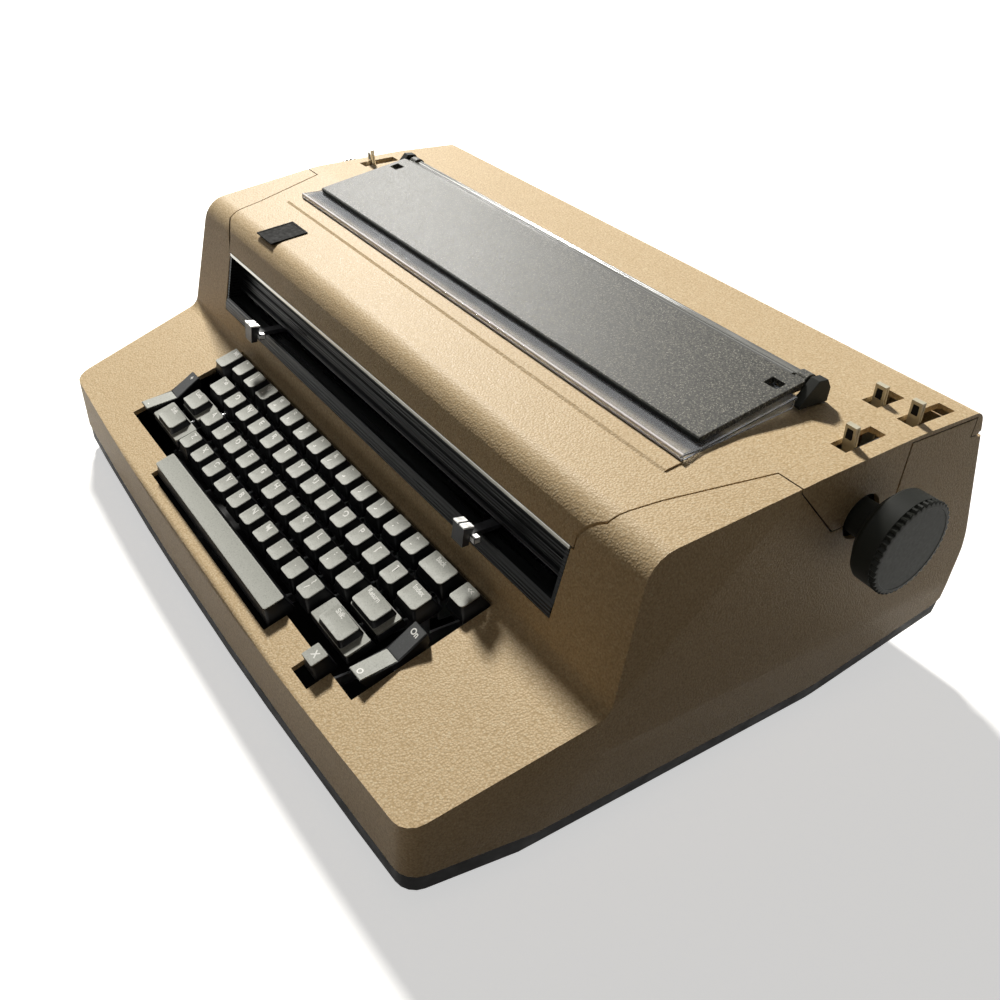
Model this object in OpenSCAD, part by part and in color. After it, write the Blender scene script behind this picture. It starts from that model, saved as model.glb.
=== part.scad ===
// Electric typewriter with a single type element, in millimetres.
// X runs to the right, Y to the rear and Z up, from the middle of the table face.

/* [Casing] */
// Room between each end of the platen and the side of the casing
side_room = 53; // [50:0.5:58]
// How far each front corner of the casing is drawn in
front_in = 12.5; // [9:0.5:20]
// How far the front edge bows out in the middle
front_bow = 6; // [2:0.5:10]
// Height of the top of the casing above the table
cover_z = 177; // [174:0.5:184]
// Thickness of the casing walls
wall = 3; // [2.4:0.2:3.6]
// Height of the lower edge of the casing above the table
skirt_z = 20; // [18:1:24]
// How far the pan's rim shows under the casing
rim_drop = 11; // [8:0.5:11]
// Height of the front edge of the keyboard deck
lip_z = 52; // [50:0.5:54]
// Slope of the keyboard deck in degrees
deck_slope = 17.8; // [17:0.1:18.6]
// Width of the casing's edge in front of the space bar
front_ledge = 9.25; // [8.75:0.05:12]
// Distance from the number keys' middle line to the foot of the hood
hood_gap = 13.2; // [12.8:0.1:15]
// Distance from the platen axis to the rear of the casing
rear_room = 114.6; // [112:0.2:122]
// Inward lean of the hood's front corners in degrees
corner_lean = 6.2; // [5:0.1:7]
// Seam width between the casing pieces
seam = 0.8; // [0.5:0.1:1.2]
// Height of the rubber feet
foot_h = 9; // [8:0.5:11]
// Radius of the rubber feet
foot_r = 12; // [9:0.5:14]

/* [Margin scale] */
// How much shorter than the platen the margin scale opening is
bezel_short = 1; // [0:0.5:6]
// Height of the lower edge of the margin scale opening
bezel_z0 = 101; // [100:0.5:104]
// Height of the upper edge of the margin scale opening
bezel_z1 = 139.5; // [138:0.5:141]
// Height of the margin rack
rack_z = 112; // [111:0.5:113]
// Resting place of the left margin lever, from the left end of the scale
margin_left_in = 69.5; // [60.5:1:80.5]
// Resting place of the right margin lever, from the right end of the scale
margin_right_in = 64.5; // [54.5:1:74.5]

/* [Platen] */
// Distance from the foot of the hood to the platen axis
platen_from_foot = 147.4; // [146.6:0.2:148.2]
// Height of the platen axis
platen_z = 141; // [140.4:0.2:141.6]
// Radius of the platen
platen_r = 18.5; // [18:0.1:18.8]
// Length of the platen
platen_l = 394; // [380:1:398]
// Radius of the platen shaft
shaft_r = 5; // [4.6:0.1:5.2]
// Radius of the platen knobs
knob_r = 25.3; // [23:0.1:27]
// How far the face of a knob stands out from the casing
knob_out = 30; // [28:0.5:34]
// Number of grip teeth round a knob
knob_teeth = 44; // [30:2:60]
// Radius of the hole that a knob hub turns in
hub_hole_r = 12.5; // [11.5:0.1:13]
// Running clearance of shafts in their bearings
run_fit = 0.06; // [0.04:0.01:0.1]

/* [Platen cover] */
// How much shorter than the platen the dark plate over it is
plate_short = 4; // [2:0.5:10]
// Depth of the dark plate over the platen
plate_d = 68; // [64:0.5:69]
// Thickness of the dark plate
plate_t = 3; // [2.4:0.2:3.2]
// Slope of the dark plate in degrees
plate_slope = 10.8; // [10.2:0.1:11.2]
// Thickness of the clear shield
shield_t = 1.5; // [1.3:0.1:1.8]
// How far the clear shield reaches in front of the plate
shield_out = 12; // [10:0.5:13]

/* [Keyboard] */
// Distance between neighbouring keys
key_pitch = 19.05; // [18.9:0.05:19.15]
// Height of the key tops above the deck
key_rise = 7.4; // [7:0.1:8]
// Height of a key cap
key_h = 9; // [8.5:0.1:9.4]
// Gap between neighbouring key caps
key_gap = 2.05; // [1.9:0.05:2.3]
// How much narrower a key cap is at its top
key_taper = 4.8; // [4:0.1:5.4]
// Travel of a key at its top
key_travel = 3.6; // [3:0.1:3.8]
// Width of a key lever
lever_t = 1.6; // [1.4:0.1:1.8]
// Depth of a key lever
lever_h = 6; // [5:0.25:6.5]
// Radius of the fulcrum rod
fulcrum_r = 3; // [2.6:0.1:3.2]

/* [Drive] */
// Radius of the motor body
motor_r = 28; // [26:0.5:29]
// Length of the motor body
motor_l = 100; // [80:1:110]
// Radius of the motor pulley
motor_pulley_r = 9; // [8:0.5:10]
// Radius of the main pulley
main_pulley_r = 24; // [22:0.5:24.5]
// Radius of the operational shaft
op_shaft_r = 5; // [4.5:0.1:5.5]

/* [Carrier] */
// Radius of the type element
type_r = 16.5; // [16:0.1:16.8]
// Gap between the type element and the platen
type_gap = 3; // [2.6:0.1:3.6]
// Radius of the print shaft that the carrier slides on
print_r = 6; // [5.5:0.1:6.2]
// Length of the carrier
carrier_w = 60; // [54:1:64]

/* [Hidden] */
$fn = 48;
big = 400;
case_w = platen_l + 2 * side_room;
space_d = 13;
space_s = -4.05 * key_pitch;
hood_foot = front_ledge + ((space_d + 4) / 2 - space_s) * cos(deck_slope) + hood_gap;
case_d = hood_foot + platen_from_foot + rear_room;
bezel_w = platen_l - bezel_short;
plate_w = platen_l - plate_short;
margin_left_x = margin_left_in - bezel_w / 2;
margin_right_x = bezel_w / 2 - margin_right_in;
front_y = -case_d / 2;
rear_y = case_d / 2;
half_w = case_w / 2;
half_front = half_w - front_in;
deck_k = tan(deck_slope);
function deck_z(y) = lip_z + (y - front_y) * deck_k;
foot_y = front_y + hood_foot;
foot_z = deck_z(foot_y);
hood_y = foot_y + 16;
hood_z = cover_z - 16;
rear_top_y = rear_y - 36;
gap = 0.3;
pan_inset = wall + gap;
rim_inset = 0.8;

platen_y = foot_y + platen_from_foot;
frame_x = half_w - 28;
frame_t = 3;
wall_x = half_w - 1.5;

lip_top = cover_z - 14;
rear_lean = (rear_y - 5.5 - rear_top_y) / (cover_z - 92);
hinge_y = rear_top_y + (cover_z - lip_top) * rear_lean - 1;
hinge_z = lip_top + seam / 2;
hinge_r = 1.6;
knuckle_r = 3.4;
knuckles = [[126, 146], [176, 196]];
cover_knuckle = [146.4, 175.6];
flap_y0 = platen_y - 51;
flap_y1 = platen_y + 24.6;
flap_z = platen_z - 2;
rim_z = cover_z - wall - 0.05;
corner_toe = 4.1;
lip_y = rear_top_y - 4;
lid_x = half_w - 17.5;
crown_y = platen_y - 43.4;

plate_y = platen_y + 2.6;
plate_z = top_z(plate_y - plate_d) + 0.35 + shield_t + plate_t + plate_d * tan(plate_slope);
pivot_y = plate_y + 6;
pivot_z = plate_z - 4;
pin_r = 2.5;
opening_w = plate_w - 18;
opening_y0 = plate_y - plate_d + 4;
opening_y1 = plate_y + 20;

// Keyboard frame: local x, s up the slope and h square to it.
key_y = foot_y - hood_gap;
key_z = deck_z(key_y) + key_rise / cos(deck_slope);
key_x0 = -6.8 * key_pitch;
number_keys = 13;
second_keys = 12;
third_keys = 11;
fourth_keys = 10;
second_x = key_x0 + 1.5 * key_pitch;
third_x = key_x0 + 1.75 * key_pitch;
fourth_x = key_x0 + 2.25 * key_pitch;
number_y = 0;
second_y = -key_pitch;
third_y = -2 * key_pitch;
fourth_y = -3 * key_pitch;
space_w = 170;
correct_w = 15;
rocker_w = 12;
rocker_s1 = -2.415 * key_pitch;
rocker_s0 = rocker_s1 - 21;
rocker_s2 = rocker_s1 + 19;
rocker_h = -12.5;
fulcrum_y = platen_y - 48.4;
fulcrum_z = 57;
lever_z = fulcrum_z + lever_h / 2;
low_lever_z = lever_z - 11.5;
space_lever_right = key_x0 + 9.875 * key_pitch;
space_lever_left = key_x0 + 3.625 * key_pitch;
tab_x = second_x - 1.125 * key_pitch;
index_x = second_x + (second_keys + 0.125) * key_pitch;
margin_release_x = key_x0 - key_pitch;
backspace_x = key_x0 + (number_keys + 0.25) * key_pitch;
express_x = key_x0 + (number_keys + 1.6) * key_pitch;
left_shift_lever = fourth_x - 2.1 * key_pitch;
right_shift_lever = fourth_x + (fourth_keys + 0.46) * key_pitch;
lock_lever = third_x - 0.92 * key_pitch;
return_lever = third_x + (third_keys + 0.39) * key_pitch;
index_lever = index_x + 0.315 * key_pitch;
backspace_lever = backspace_x + 0.05 * key_pitch;
well_half = express_x + key_pitch / 2 + 0.385;
power_x = well_half - 7.5;
tab_rocker_x = 9 - well_half;
correct_x = power_x - 23;
correct_lever = key_x0 + 13.655 * key_pitch;
well_y0 = key_y + cos(deck_slope) * (fourth_y - key_pitch / 2) - 5.5;
well_y1 = foot_y - 1.8;
notch_y0 = front_y + front_ledge - 0.75;
comb_y = foot_y + 7;
comb_t = 3;

axis_dy = type_r + type_gap + platen_r;
ball_y = platen_y - axis_dy;
print_y = ball_y - 30.4;
print_z = 92;
rail_y = ball_y + 7.6;
rack_y = hood_y + 15;
feed_r = 6;
feed_dist = platen_r + feed_r + gap;
feed_angle = 35;
feed_dy = feed_dist * sin(feed_angle);
feed_z = platen_z - feed_dist * cos(feed_angle);
bail_y = platen_y - 18.4;
bail_z = platen_z + 19;
bail_pivot_y = platen_y + 19.6;
bail_pivot_z = platen_z + 9;
bail_roller_r = norm([bail_y - platen_y, bail_z - platen_z]) - platen_r - gap;
stud_y = platen_y + 43.6;
stud_z = platen_z - 13;
stud_r = 3;
op_y = platen_y - 8.4;
op_z = 54;
motor_y = op_y + 66;
motor_z = 60;
belt_x = frame_x - 26;
belt_w = 12;
motor_x1 = belt_x - 30;
lever_x = half_w - 17;
lever_w = 6.4;
line_x = half_w - 36.5;
copy_x = half_w - 15;
sleeve_r = 8;
ratchet_teeth = 44;
pan_z = foot_h;
pan_floor = pan_z + 2.4;
pan_rise_y = platen_y - 8.4;
screw_x = half_w - 19;
screw_r = 2;
screw_ys = [foot_y - 26, pan_rise_y - 10];
boss_z = 29;
frame_z = 20;
mount_ys = [foot_y + 49, platen_y - 24.4];

// Plane geometry: corners rounded by an arc, and outlines drawn in by a wall.
function unit(v) = v / norm(v);
function spin(v, a) = [v[0] * cos(a) - v[1] * sin(a), v[0] * sin(a) + v[1] * cos(a)];
function cross2(a, b) = a[0] * b[1] - a[1] * b[0];
function corner_arc(p0, p1, p2, r, n) =
  let (a = unit(p0 - p1), b = unit(p2 - p1), half = acos(a * b) / 2,
       c = p1 + unit(a + b) * r / sin(half), start = p1 + a * r / tan(half) - c,
       turn = (180 - 2 * half) * sign(-cross2(a, b)))
  [for (i = [0 : n]) c + spin(start, turn * i / n)];
function rounded(pts, radii, n) =
  let (m = len(pts))
  [for (i = [0 : m - 1]) each
    radii[i] > 0 ? corner_arc(pts[(i + m - 1) % m], pts[i], pts[(i + 1) % m], radii[i], n) : [pts[i]]];
function inset(pts, t) =
  let (m = len(pts))
  [for (i = [0 : m - 1])
    let (p = pts[i], a = unit(p - pts[(i + m - 1) % m]), b = unit(pts[(i + 1) % m] - p),
         na = [-a[1], a[0]], nb = [-b[1], b[0]])
    p + t * (na + nb) / (1 + na * nb)];

// Outlines of the casing, anticlockwise. The drop lowers the bottom edge.
function side_points(drop) = rounded(
  [[front_y, skirt_z - drop], [platen_y + 13.6, skirt_z - drop], [rear_y + 1, 42 - drop], [rear_y - 5.5, 92],
   [rear_top_y, cover_z], [platen_y + 27.6, cover_z], [crown_y, cover_z - 3.7], [hood_y, hood_z],
   [foot_y, foot_z], [front_y, lip_z]],
  [0, 60, 10, 80, 8, 200, 160, 18, 10, 5], 5);
function plan_points() = rounded(concat(
  [for (i = [-5 : 5]) [half_front * i / 5, front_y + front_bow * pow(i / 5, 2)]],
  [[half_w, foot_y], [half_w, rear_y + 2], [-half_w, rear_y + 2], [-half_w, foot_y]]),
  [12, 0, 0, 0, 0, 0, 0, 0, 0, 0, 12, 60, 9, 9, 60], 4);
function face_points() =
  [[-half_w + 6, 0], [half_w - 6, 0], [half_w, 62], [half_w - 3, cover_z + 4],
   [-half_w + 3, cover_z + 4], [-half_w, 62]];

module along_x(x0, x1, y, z) {
  translate([x0, y, z]) rotate([0, 90, 0]) linear_extrude(x1 - x0) children();
}
module rod_x(r, x0, x1, y, z) {
  translate([x0, y, z]) rotate([0, 90, 0]) cylinder(r = r, h = x1 - x0);
}
module side_extrude(pts, x0, x1) {
  translate([x0, 0, 0]) rotate([90, 0, 90]) linear_extrude(x1 - x0) polygon(pts);
}
module box(x0, x1, y0, y1, z0, z1) {
  translate([x0, y0, z0]) cube([x1 - x0, y1 - y0, z1 - z0]);
}
module both_sides() {
  children();
  mirror([1, 0, 0]) children();
}
module case_body(t, drop) {
  intersection() {
    side_extrude(inset(side_points(drop), t), -half_w, half_w);
    translate([0, 0, -10]) linear_extrude(cover_z + 20) polygon(inset(plan_points(), t));
    translate([0, big / 2, 0]) rotate([90, 0, 0]) linear_extrude(big) polygon(inset(face_points(), t));
    corner_plane(t);
    mirror([1, 0, 0]) corner_plane(t);
  }
}
// Everything inside the plane that draws in the hood's front corner.
module corner_plane(t) {
  translate([half_w - 0.5, foot_y, foot_z]) rotate([0, -corner_lean, -corner_toe])
    translate([-2 * big - t, -big, -big]) cube(2 * big);
}

// The part of the casing that lifts: hood top, side flaps and rear top. The gap draws it in.
module lid_zone(g) {
  corner = [[bezel_w / 2 + 2 - g, -big], [bezel_w / 2 + 2 - g, hood_y - 3.5 + g],
    [half_w - 40 - g, hood_y + 3 + g], [half_w - 34.5 - g, hood_y + 28 + g],
    [lid_x - g, flap_y0 + g], [lid_x - g, lip_y + g], [big, lip_y + g], [big, big]];
  flap_end = flap_y1 - 1.6 * g;
  linear_extrude(big) polygon(concat(corner,
    [for (i = [len(corner) - 1 : -1 : 0]) [-corner[i][0], corner[i][1]]]));
  side_extrude([[flap_y0 + g, big], [flap_y0 + g, cover_z - 7], [flap_y0 + 30 + g, flap_z + g],
    [flap_end, flap_z + g], [flap_end, rim_z + g], [rear_y, rim_z + g], [rear_y, big]], -big, big);
}
module lid_floor(g) {
  side_extrude([[-big, big], [-big, bezel_z1 + g], [hood_y + 20, bezel_z1 + g], [hood_y + 20, flap_z + g],
    [rear_top_y - 14, flap_z + g], [rear_top_y - 8, lip_top + g], [rear_y + 10, lip_top + g],
    [rear_y + 10, big]], -big, big);
}
module lid_solid(g) {
  intersection() {
    lid_zone(g);
    lid_floor(g);
  }
}
module slot(x0, x1, y0, y1) {
  box(x0, x1, y0, y1, cover_z - 14, cover_z + 10);
}
module lever_slots() {
  slot(lever_x - 4.7, lever_x + 4.8, platen_y - 13, platen_y + 15.2);
  slot(line_x - 4.9, line_x + 4.9, stud_y - 11.8, stud_y + 9.5);
  slot(copy_x - 4.8, copy_x + 4.8, stud_y - 11.8, stud_y + 21.5);
  slot(-lever_x - 4.8, -lever_x + 4.7, platen_y - 13, platen_y + 15.2);
}

module deck_openings() {
  box(-well_half, well_half, well_y0, well_y1, 40, 120);
  box(-space_w / 2 - 1, space_w / 2 + 1, notch_y0, well_y0 + 2, 40, 70);
  box(correct_x - correct_w / 2 - 1.2, correct_x + correct_w / 2 + 1.2, notch_y0, well_y0 + 2, 40, 70);
}

module lower_case() {
  color("tan") {
    difference() {
      case_body(0, 0);
      case_body(wall, 40);
      lid_solid(0);
      deck_openings();
      box(-bezel_w / 2, bezel_w / 2, foot_y - 12, hood_y + 12, bezel_z0, bezel_z1 + 20);
      rod_x(hub_hole_r, -half_w - 5, half_w + 5, platen_y, platen_z);
      box(-174, -146, rear_y - 20, rear_y + 10, 62, 82);
      rod_x(hinge_r + 0.02, -half_w, half_w, hinge_y, hinge_z);
      both_sides() rod_x(knuckle_r + 0.4, cover_knuckle[0] - 0.3, cover_knuckle[1] + 0.3, hinge_y, hinge_z);
    }
    body_knuckles();
    screw_bosses();
  }
}
module body_knuckles() {
  both_sides() for (k = knuckles) {
    difference() {
      rod_x(knuckle_r, k[0], k[1], hinge_y, hinge_z);
      rod_x(hinge_r + run_fit, k[0] - 1, k[1] + 1, hinge_y, hinge_z);
    }
  }
}
// Bosses on the side walls that the case screws pull down on.
module screw_bosses() {
  both_sides() for (y = screw_ys) {
    difference() {
      intersection() {
        box(screw_x - 6, half_w, y - 6, y + 6, boss_z + gap, boss_z + 14);
        case_body(wall - 0.5, 40);
      }
      translate([screw_x, y, boss_z]) cylinder(r = screw_r + 0.1, h = 11);
    }
  }
}

module top_cover() {
  color("burlywood") {
    difference() {
      intersection() {
        difference() {
          case_body(0, 0);
          case_body(wall, 0);
        }
        lid_solid(seam);
      }
      box(-opening_w / 2, opening_w / 2, opening_y0, opening_y1, 150, 200);
      rod_x(hub_hole_r, -half_w - 5, half_w + 5, platen_y, platen_z);
      lever_slots();
      both_sides() for (k = knuckles) {
        rod_x(knuckle_r + 0.4, k[0] - 0.3, k[1] + 0.3, hinge_y, hinge_z);
      }
      rod_x(hinge_r + run_fit, -half_w, half_w, hinge_y, hinge_z);
    }
    cover_knuckles();
    ledge();
  }
}
module cover_knuckles() {
  both_sides() difference() {
    rod_x(knuckle_r, cover_knuckle[0], cover_knuckle[1], hinge_y, hinge_z);
    rod_x(hinge_r + run_fit, cover_knuckle[0] - 1, cover_knuckle[1] + 1, hinge_y, hinge_z);
  }
}
// Low step across the cover in front of the clear shield.
module ledge() {
  y0 = plate_y - plate_d - shield_out - 14;
  y1 = y0 + 12.4;
  side_extrude([[y0, top_z(y0) - 1], [y0 + 3.4, top_z(y0 + 3.4) + 0.8], [y1, top_z(y1) + 0.8],
    [y1, top_z(y1) - 1]], -half_w + 50, half_w - 50);
}
// Height of the top of the hood between its front corner and the crown.
function top_z(y) = hood_z + (y - hood_y) * (cover_z - 3.7 - hood_z) / (crown_y - hood_y);

module cover_trim() {
  color("gainsboro") {
    w = bezel_w / 2 - 1;
    y0 = bezel_y(bezel_z1) - 0.2;
    box(-w, w, y0, y0 + wall + 0.2, bezel_z1 - 1.6, bezel_z1 + seam - 0.1);
  }
}
// Y of the hood's front face at height z.
function bezel_y(z) = foot_y + (z - foot_z) * (hood_y - foot_y) / (hood_z - foot_z);

module cover_hinge_pins() {
  color("silver") both_sides() rod_x(hinge_r, knuckles[0][0] - 1, knuckles[1][1] + 1, hinge_y, hinge_z);
}

// Recessed channel with ribs, open by a slit for the two margin levers.
module margin_bezel() {
  y0 = bezel_y(bezel_z0);
  w = bezel_w / 2 - 0.5;
  slit0 = rack_z - 2.2;
  slit1 = rack_z + 2.2;
  color("#202124") {
    side_extrude([[y0 + 0.2, bezel_z0 + 0.3], [y0 + 14, bezel_z0 + 0.3], [y0 + 14, slit0],
      [y0 + 2.5, slit0], [y0 + 0.6, slit0 - 4]], -w, w);
    side_extrude([[y0 + 12, slit1], [y0 + 18, slit1], [y0 + 20, bezel_z1 - 2], [y0 + 11, bezel_z1 - 2],
      [y0 + 11, bezel_z1 - 4], [y0 + 17, bezel_z1 - 4.5], [y0 + 16.6, bezel_z1 - 12],
      [y0 + 15.6, bezel_z1 - 12.5], [y0 + 15.6, bezel_z1 - 16], [y0 + 14.2, bezel_z1 - 16.6],
      [y0 + 14.2, slit1 + 3], [y0 + 12, slit1 + 2]], -w, w);
    both_sides() side_extrude([[y0 + 0.6, bezel_z0 + 0.3], [y0 + 20, bezel_z0 + 0.3],
      [y0 + 20, bezel_z1 - 2], [y0 + 8, bezel_z1 - 2]], w - 2.5, w);
  }
}

module badge_plate() {
  y0 = hood_y + 4.5;
  y1 = y0 + 26;
  color("#2b2826") {
    difference() {
      side_extrude([[y0, top_z(y0) + 0.02], [y1, top_z(y1) + 0.02], [y1, top_z(y1) + 0.9],
        [y0, top_z(y0) + 0.9]], -166, -143);
      side_extrude([[y0 + 1.4, top_z(y0 + 1.4) + 0.6], [y1 - 1.4, top_z(y1 - 1.4) + 0.6],
        [y1 - 1.4, top_z(y1) + 4], [y0 + 1.4, top_z(y0) + 4]], -164.6, -144.4);
    }
  }
}

// Frame of the sloping plate: origin at its rear lower edge, y forward negative.
module on_plate() {
  translate([0, plate_y, plate_z - plate_t]) rotate([plate_slope, 0, 0]) children();
}
module platen_cover_plate() {
  color("#3a3a3c") {
    difference() {
      union() {
        on_plate() translate([-plate_w / 2, -plate_d, 0]) cube([plate_w, plate_d, plate_t]);
        both_sides() {
          rod_x(pin_r + 2.4, plate_w / 2 - 9, plate_w / 2 - 2, pivot_y, pivot_z);
          side_extrude([[plate_y - 4, plate_z - 2.6], [pivot_y, pivot_z + 4], [pivot_y - 1, pivot_z - 3],
            [plate_y - 4, plate_z - 5]], plate_w / 2 - 9, plate_w / 2 - 2);
        }
      }
      rod_x(pin_r + run_fit, -plate_w / 2, plate_w / 2, pivot_y, pivot_z);
      both_sides() on_plate() translate([plate_w / 2 - 13, -15, -1]) cube([8.5, 6.5, plate_t + 2]);
    }
  }
}
module clear_shield() {
  x = plate_w / 2 + 4;
  front = plate_y - plate_d;
  low_y = front - shield_out;
  rear = plate_y - 10;
  top = plate_under(front) - 0.05;
  color("#dfe6ee", 0.4) {
    difference() {
      side_extrude([[low_y, top - shield_t], [front, top - shield_t],
        [rear + 4, plate_under(rear + 4) - shield_t - 0.05], [rear + 4, plate_under(rear + 4) - 0.05],
        [front, top], [low_y, top]], -x, x);
      both_sides() box(plate_w / 2 - 12, x + 1, rear + 1, pivot_y + 10, 150, 220);
    }
    side_extrude([[low_y - 1, top_z(low_y) + 0.5], [low_y + 0.6, top_z(low_y) + 0.5],
      [low_y + 0.6, top], [low_y - 1, top]], -x, x);
    both_sides() side_extrude([[low_y, top_z(low_y) + 0.5], [front, top_z(front) + 0.5],
      [rear, cover_z + 0.6], [rear, plate_under(rear) - 0.05], [front, top], [low_y, top]],
      x - shield_t, x);
  }
}
function plate_under(y) = plate_z - plate_t - (plate_y - y) * tan(plate_slope);

module cover_end_caps() {
  color("#1c1c1e") {
    both_sides() {
      side_extrude([[plate_y - 8, cover_z + 0.05], [pivot_y + 6, cover_z + 0.05],
        [pivot_y + 6, cover_z + 7.5], [pivot_y + 2.5, pivot_z + 5.4], [pivot_y - 3.5, pivot_z + 5.8],
        [plate_y - 8.6, cover_z + 1.6]],
        plate_w / 2 + 0.4, plate_w / 2 + 6.2);
      rod_x(pin_r, plate_w / 2 - 10, plate_w / 2 + 1, pivot_y, pivot_z);
    }
  }
}

module power_inlet() {
  color("#18181a") {
    difference() {
      box(-173.6, -146.4, rear_y - 18, rear_y - 3.4, 62.4, 81.6);
      box(-170, -150, rear_y - 14, rear_y, 65, 79);
    }
    for (x = [-165, -160, -155]) {
      box(x - 0.9, x + 0.9, rear_y - 15, rear_y - 6, 70.5, 73.5);
    }
  }
}

// Rim of the pan: it shows all round under the casing, almost flush with it.
module pan_rim() {
  x = half_w + 1;
  low = skirt_z - rim_drop;
  high = skirt_z - gap;
  bend_y = platen_y + 13.6;
  end_y = rear_y - 0.3;
  end_z = 41.7;
  difference() {
    intersection() {
      side_extrude(rounded([[front_y - 1, low], [bend_y, low], [end_y, end_z - rim_drop],
        [end_y, end_z - gap], [bend_y, high], [front_y - 1, high]], [0, 60, 0, 0, 60, 0], 5), -x, x);
      translate([0, 0, low - 1]) linear_extrude(60) polygon(inset(plan_points(), rim_inset));
      translate([0, big / 2, 0]) rotate([90, 0, 0]) linear_extrude(big)
        polygon(inset(face_points(), rim_inset));
    }
    translate([0, 0, low - 2]) linear_extrude(62) polygon(inset(plan_points(), rim_inset + 8));
  }
}
module bottom_pan() {
  color("#26241f") {
    difference() {
      union() {
        intersection() {
          side_extrude([[front_y + 7, skirt_z + 8], [front_y + 7, pan_z + 5], [front_y + 12, pan_z],
            [pan_rise_y, pan_z], [rear_y - 18, 31], [rear_y - 7, 40], [rear_y - 7, 48], [rear_y - 20, 46],
            [platen_y + 11.6, skirt_z + 8]], -half_w, half_w);
          case_body(pan_inset, 40);
        }
        pan_rim();
      }
      intersection() {
        side_extrude([[front_y + 9.4, big], [front_y + 9.4, pan_floor + 3], [front_y + 14, pan_floor],
          [pan_rise_y - 1, pan_floor], [rear_y - 20, 33], [rear_y - 9.4, 42], [rear_y - 9.4, big]],
          -half_w, half_w);
        case_body(pan_inset + 2.4, 40);
      }
      both_sides() for (y = screw_ys) {
        translate([screw_x, y, pan_z - 1]) cylinder(r = 4.5, h = 4);
      }
    }
    both_sides() {
      for (y = mount_ys) {
        translate([frame_x - 7, y, pan_floor - 0.4]) cylinder(r = 6, h = frame_z - gap - pan_floor + 0.4);
      }
      for (y = screw_ys) {
        difference() {
          translate([screw_x, y, pan_z]) cylinder(r = 5, h = boss_z - pan_z);
          translate([screw_x, y, pan_z - 1]) cylinder(r = screw_r + 0.3, h = 40);
          translate([screw_x, y, pan_z - 1]) cylinder(r = 4, h = 4);
        }
      }
    }
  }
}
module case_screws() {
  color("silver") both_sides() {
    for (y = screw_ys) {
      translate([screw_x, y, pan_z + 0.6]) difference() {
        union() {
          cylinder(r = 3.6, h = 2.1);
          cylinder(r = screw_r, h = boss_z - pan_z + 8);
        }
        translate([-0.5, -5, -1]) cube([1, 10, 1.8]);
      }
    }
  }
}
module rubber_feet() {
  color("#111111") both_sides() {
    for (y = [front_y + 36, pan_rise_y - 20]) {
      translate([half_front - 40, y, 0]) rotate_extrude()
        polygon([[0, 0], [foot_r - 1.2, 0], [foot_r, 1.2], [foot_r - 1.6, foot_h], [0, foot_h]]);
    }
  }
}

// Two side plates joined by tie bars, standing on the pan's bosses.
module machine_frame() {
  plate = [[rack_y - 10, frame_z], [platen_y - 14.4, frame_z], [platen_y + 51.6, 40],
    [platen_y + 77.6, 60], [platen_y + 77.6, 84], [platen_y + 55.6, 128], [platen_y + 39.6, 160],
    [bail_pivot_y - 8, bail_pivot_z + 8], [platen_y - 16, platen_z + 16], [ball_y - 12, 118],
    [rack_y + 8, 122], [rack_y - 10, 122]];
  color("#8f9194") {
    both_sides() {
      difference() {
        union() {
          side_extrude(plate, frame_x - frame_t / 2, frame_x + frame_t / 2);
          rod_x(sleeve_r, frame_x, lever_x + lever_w / 2 + 1, platen_y, platen_z);
        }
        rod_x(shaft_r + run_fit, frame_x - 9, lever_x + 9, platen_y, platen_z);
        rod_x(3 + run_fit, frame_x - 9, frame_x + 9, platen_y - feed_dy, feed_z);
        rod_x(3 + run_fit, frame_x - 9, frame_x + 9, platen_y + feed_dy, feed_z);
        rod_x(print_r + 0.02, frame_x - 9, frame_x + 9, print_y, print_z);
        rod_x(fulcrum_r + 0.02, frame_x - 9, frame_x + 9, fulcrum_y, fulcrum_z);
        rod_x(op_shaft_r + run_fit, frame_x - 9, frame_x + 9, op_y, op_z);
        box(frame_x - 9, frame_x + 9, rail_y - 3.02, rail_y + 3.02, print_z - 5.02, print_z + 5.02);
        box(frame_x - 9, frame_x + 9, rack_y - 3.02, rack_y + 3.02, rack_z - 4.02, rack_z + 4.02);
      }
      box(frame_x - 14, frame_x + frame_t / 2, foot_y + 41, platen_y - 14.4, frame_z, frame_z + 2.4);
      rod_x(2.5, frame_x - 18.5, frame_x, bail_pivot_y, bail_pivot_z);
    }
    for (p = [[foot_y + 69, 30], [platen_y + 41.6, 106]]) {
      rod_x(5, -frame_x, frame_x, p[0], p[1]);
    }
    rod_x(stud_r, line_x - 6.5, copy_x + 5, stud_y, stud_z);
  }
}

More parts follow.
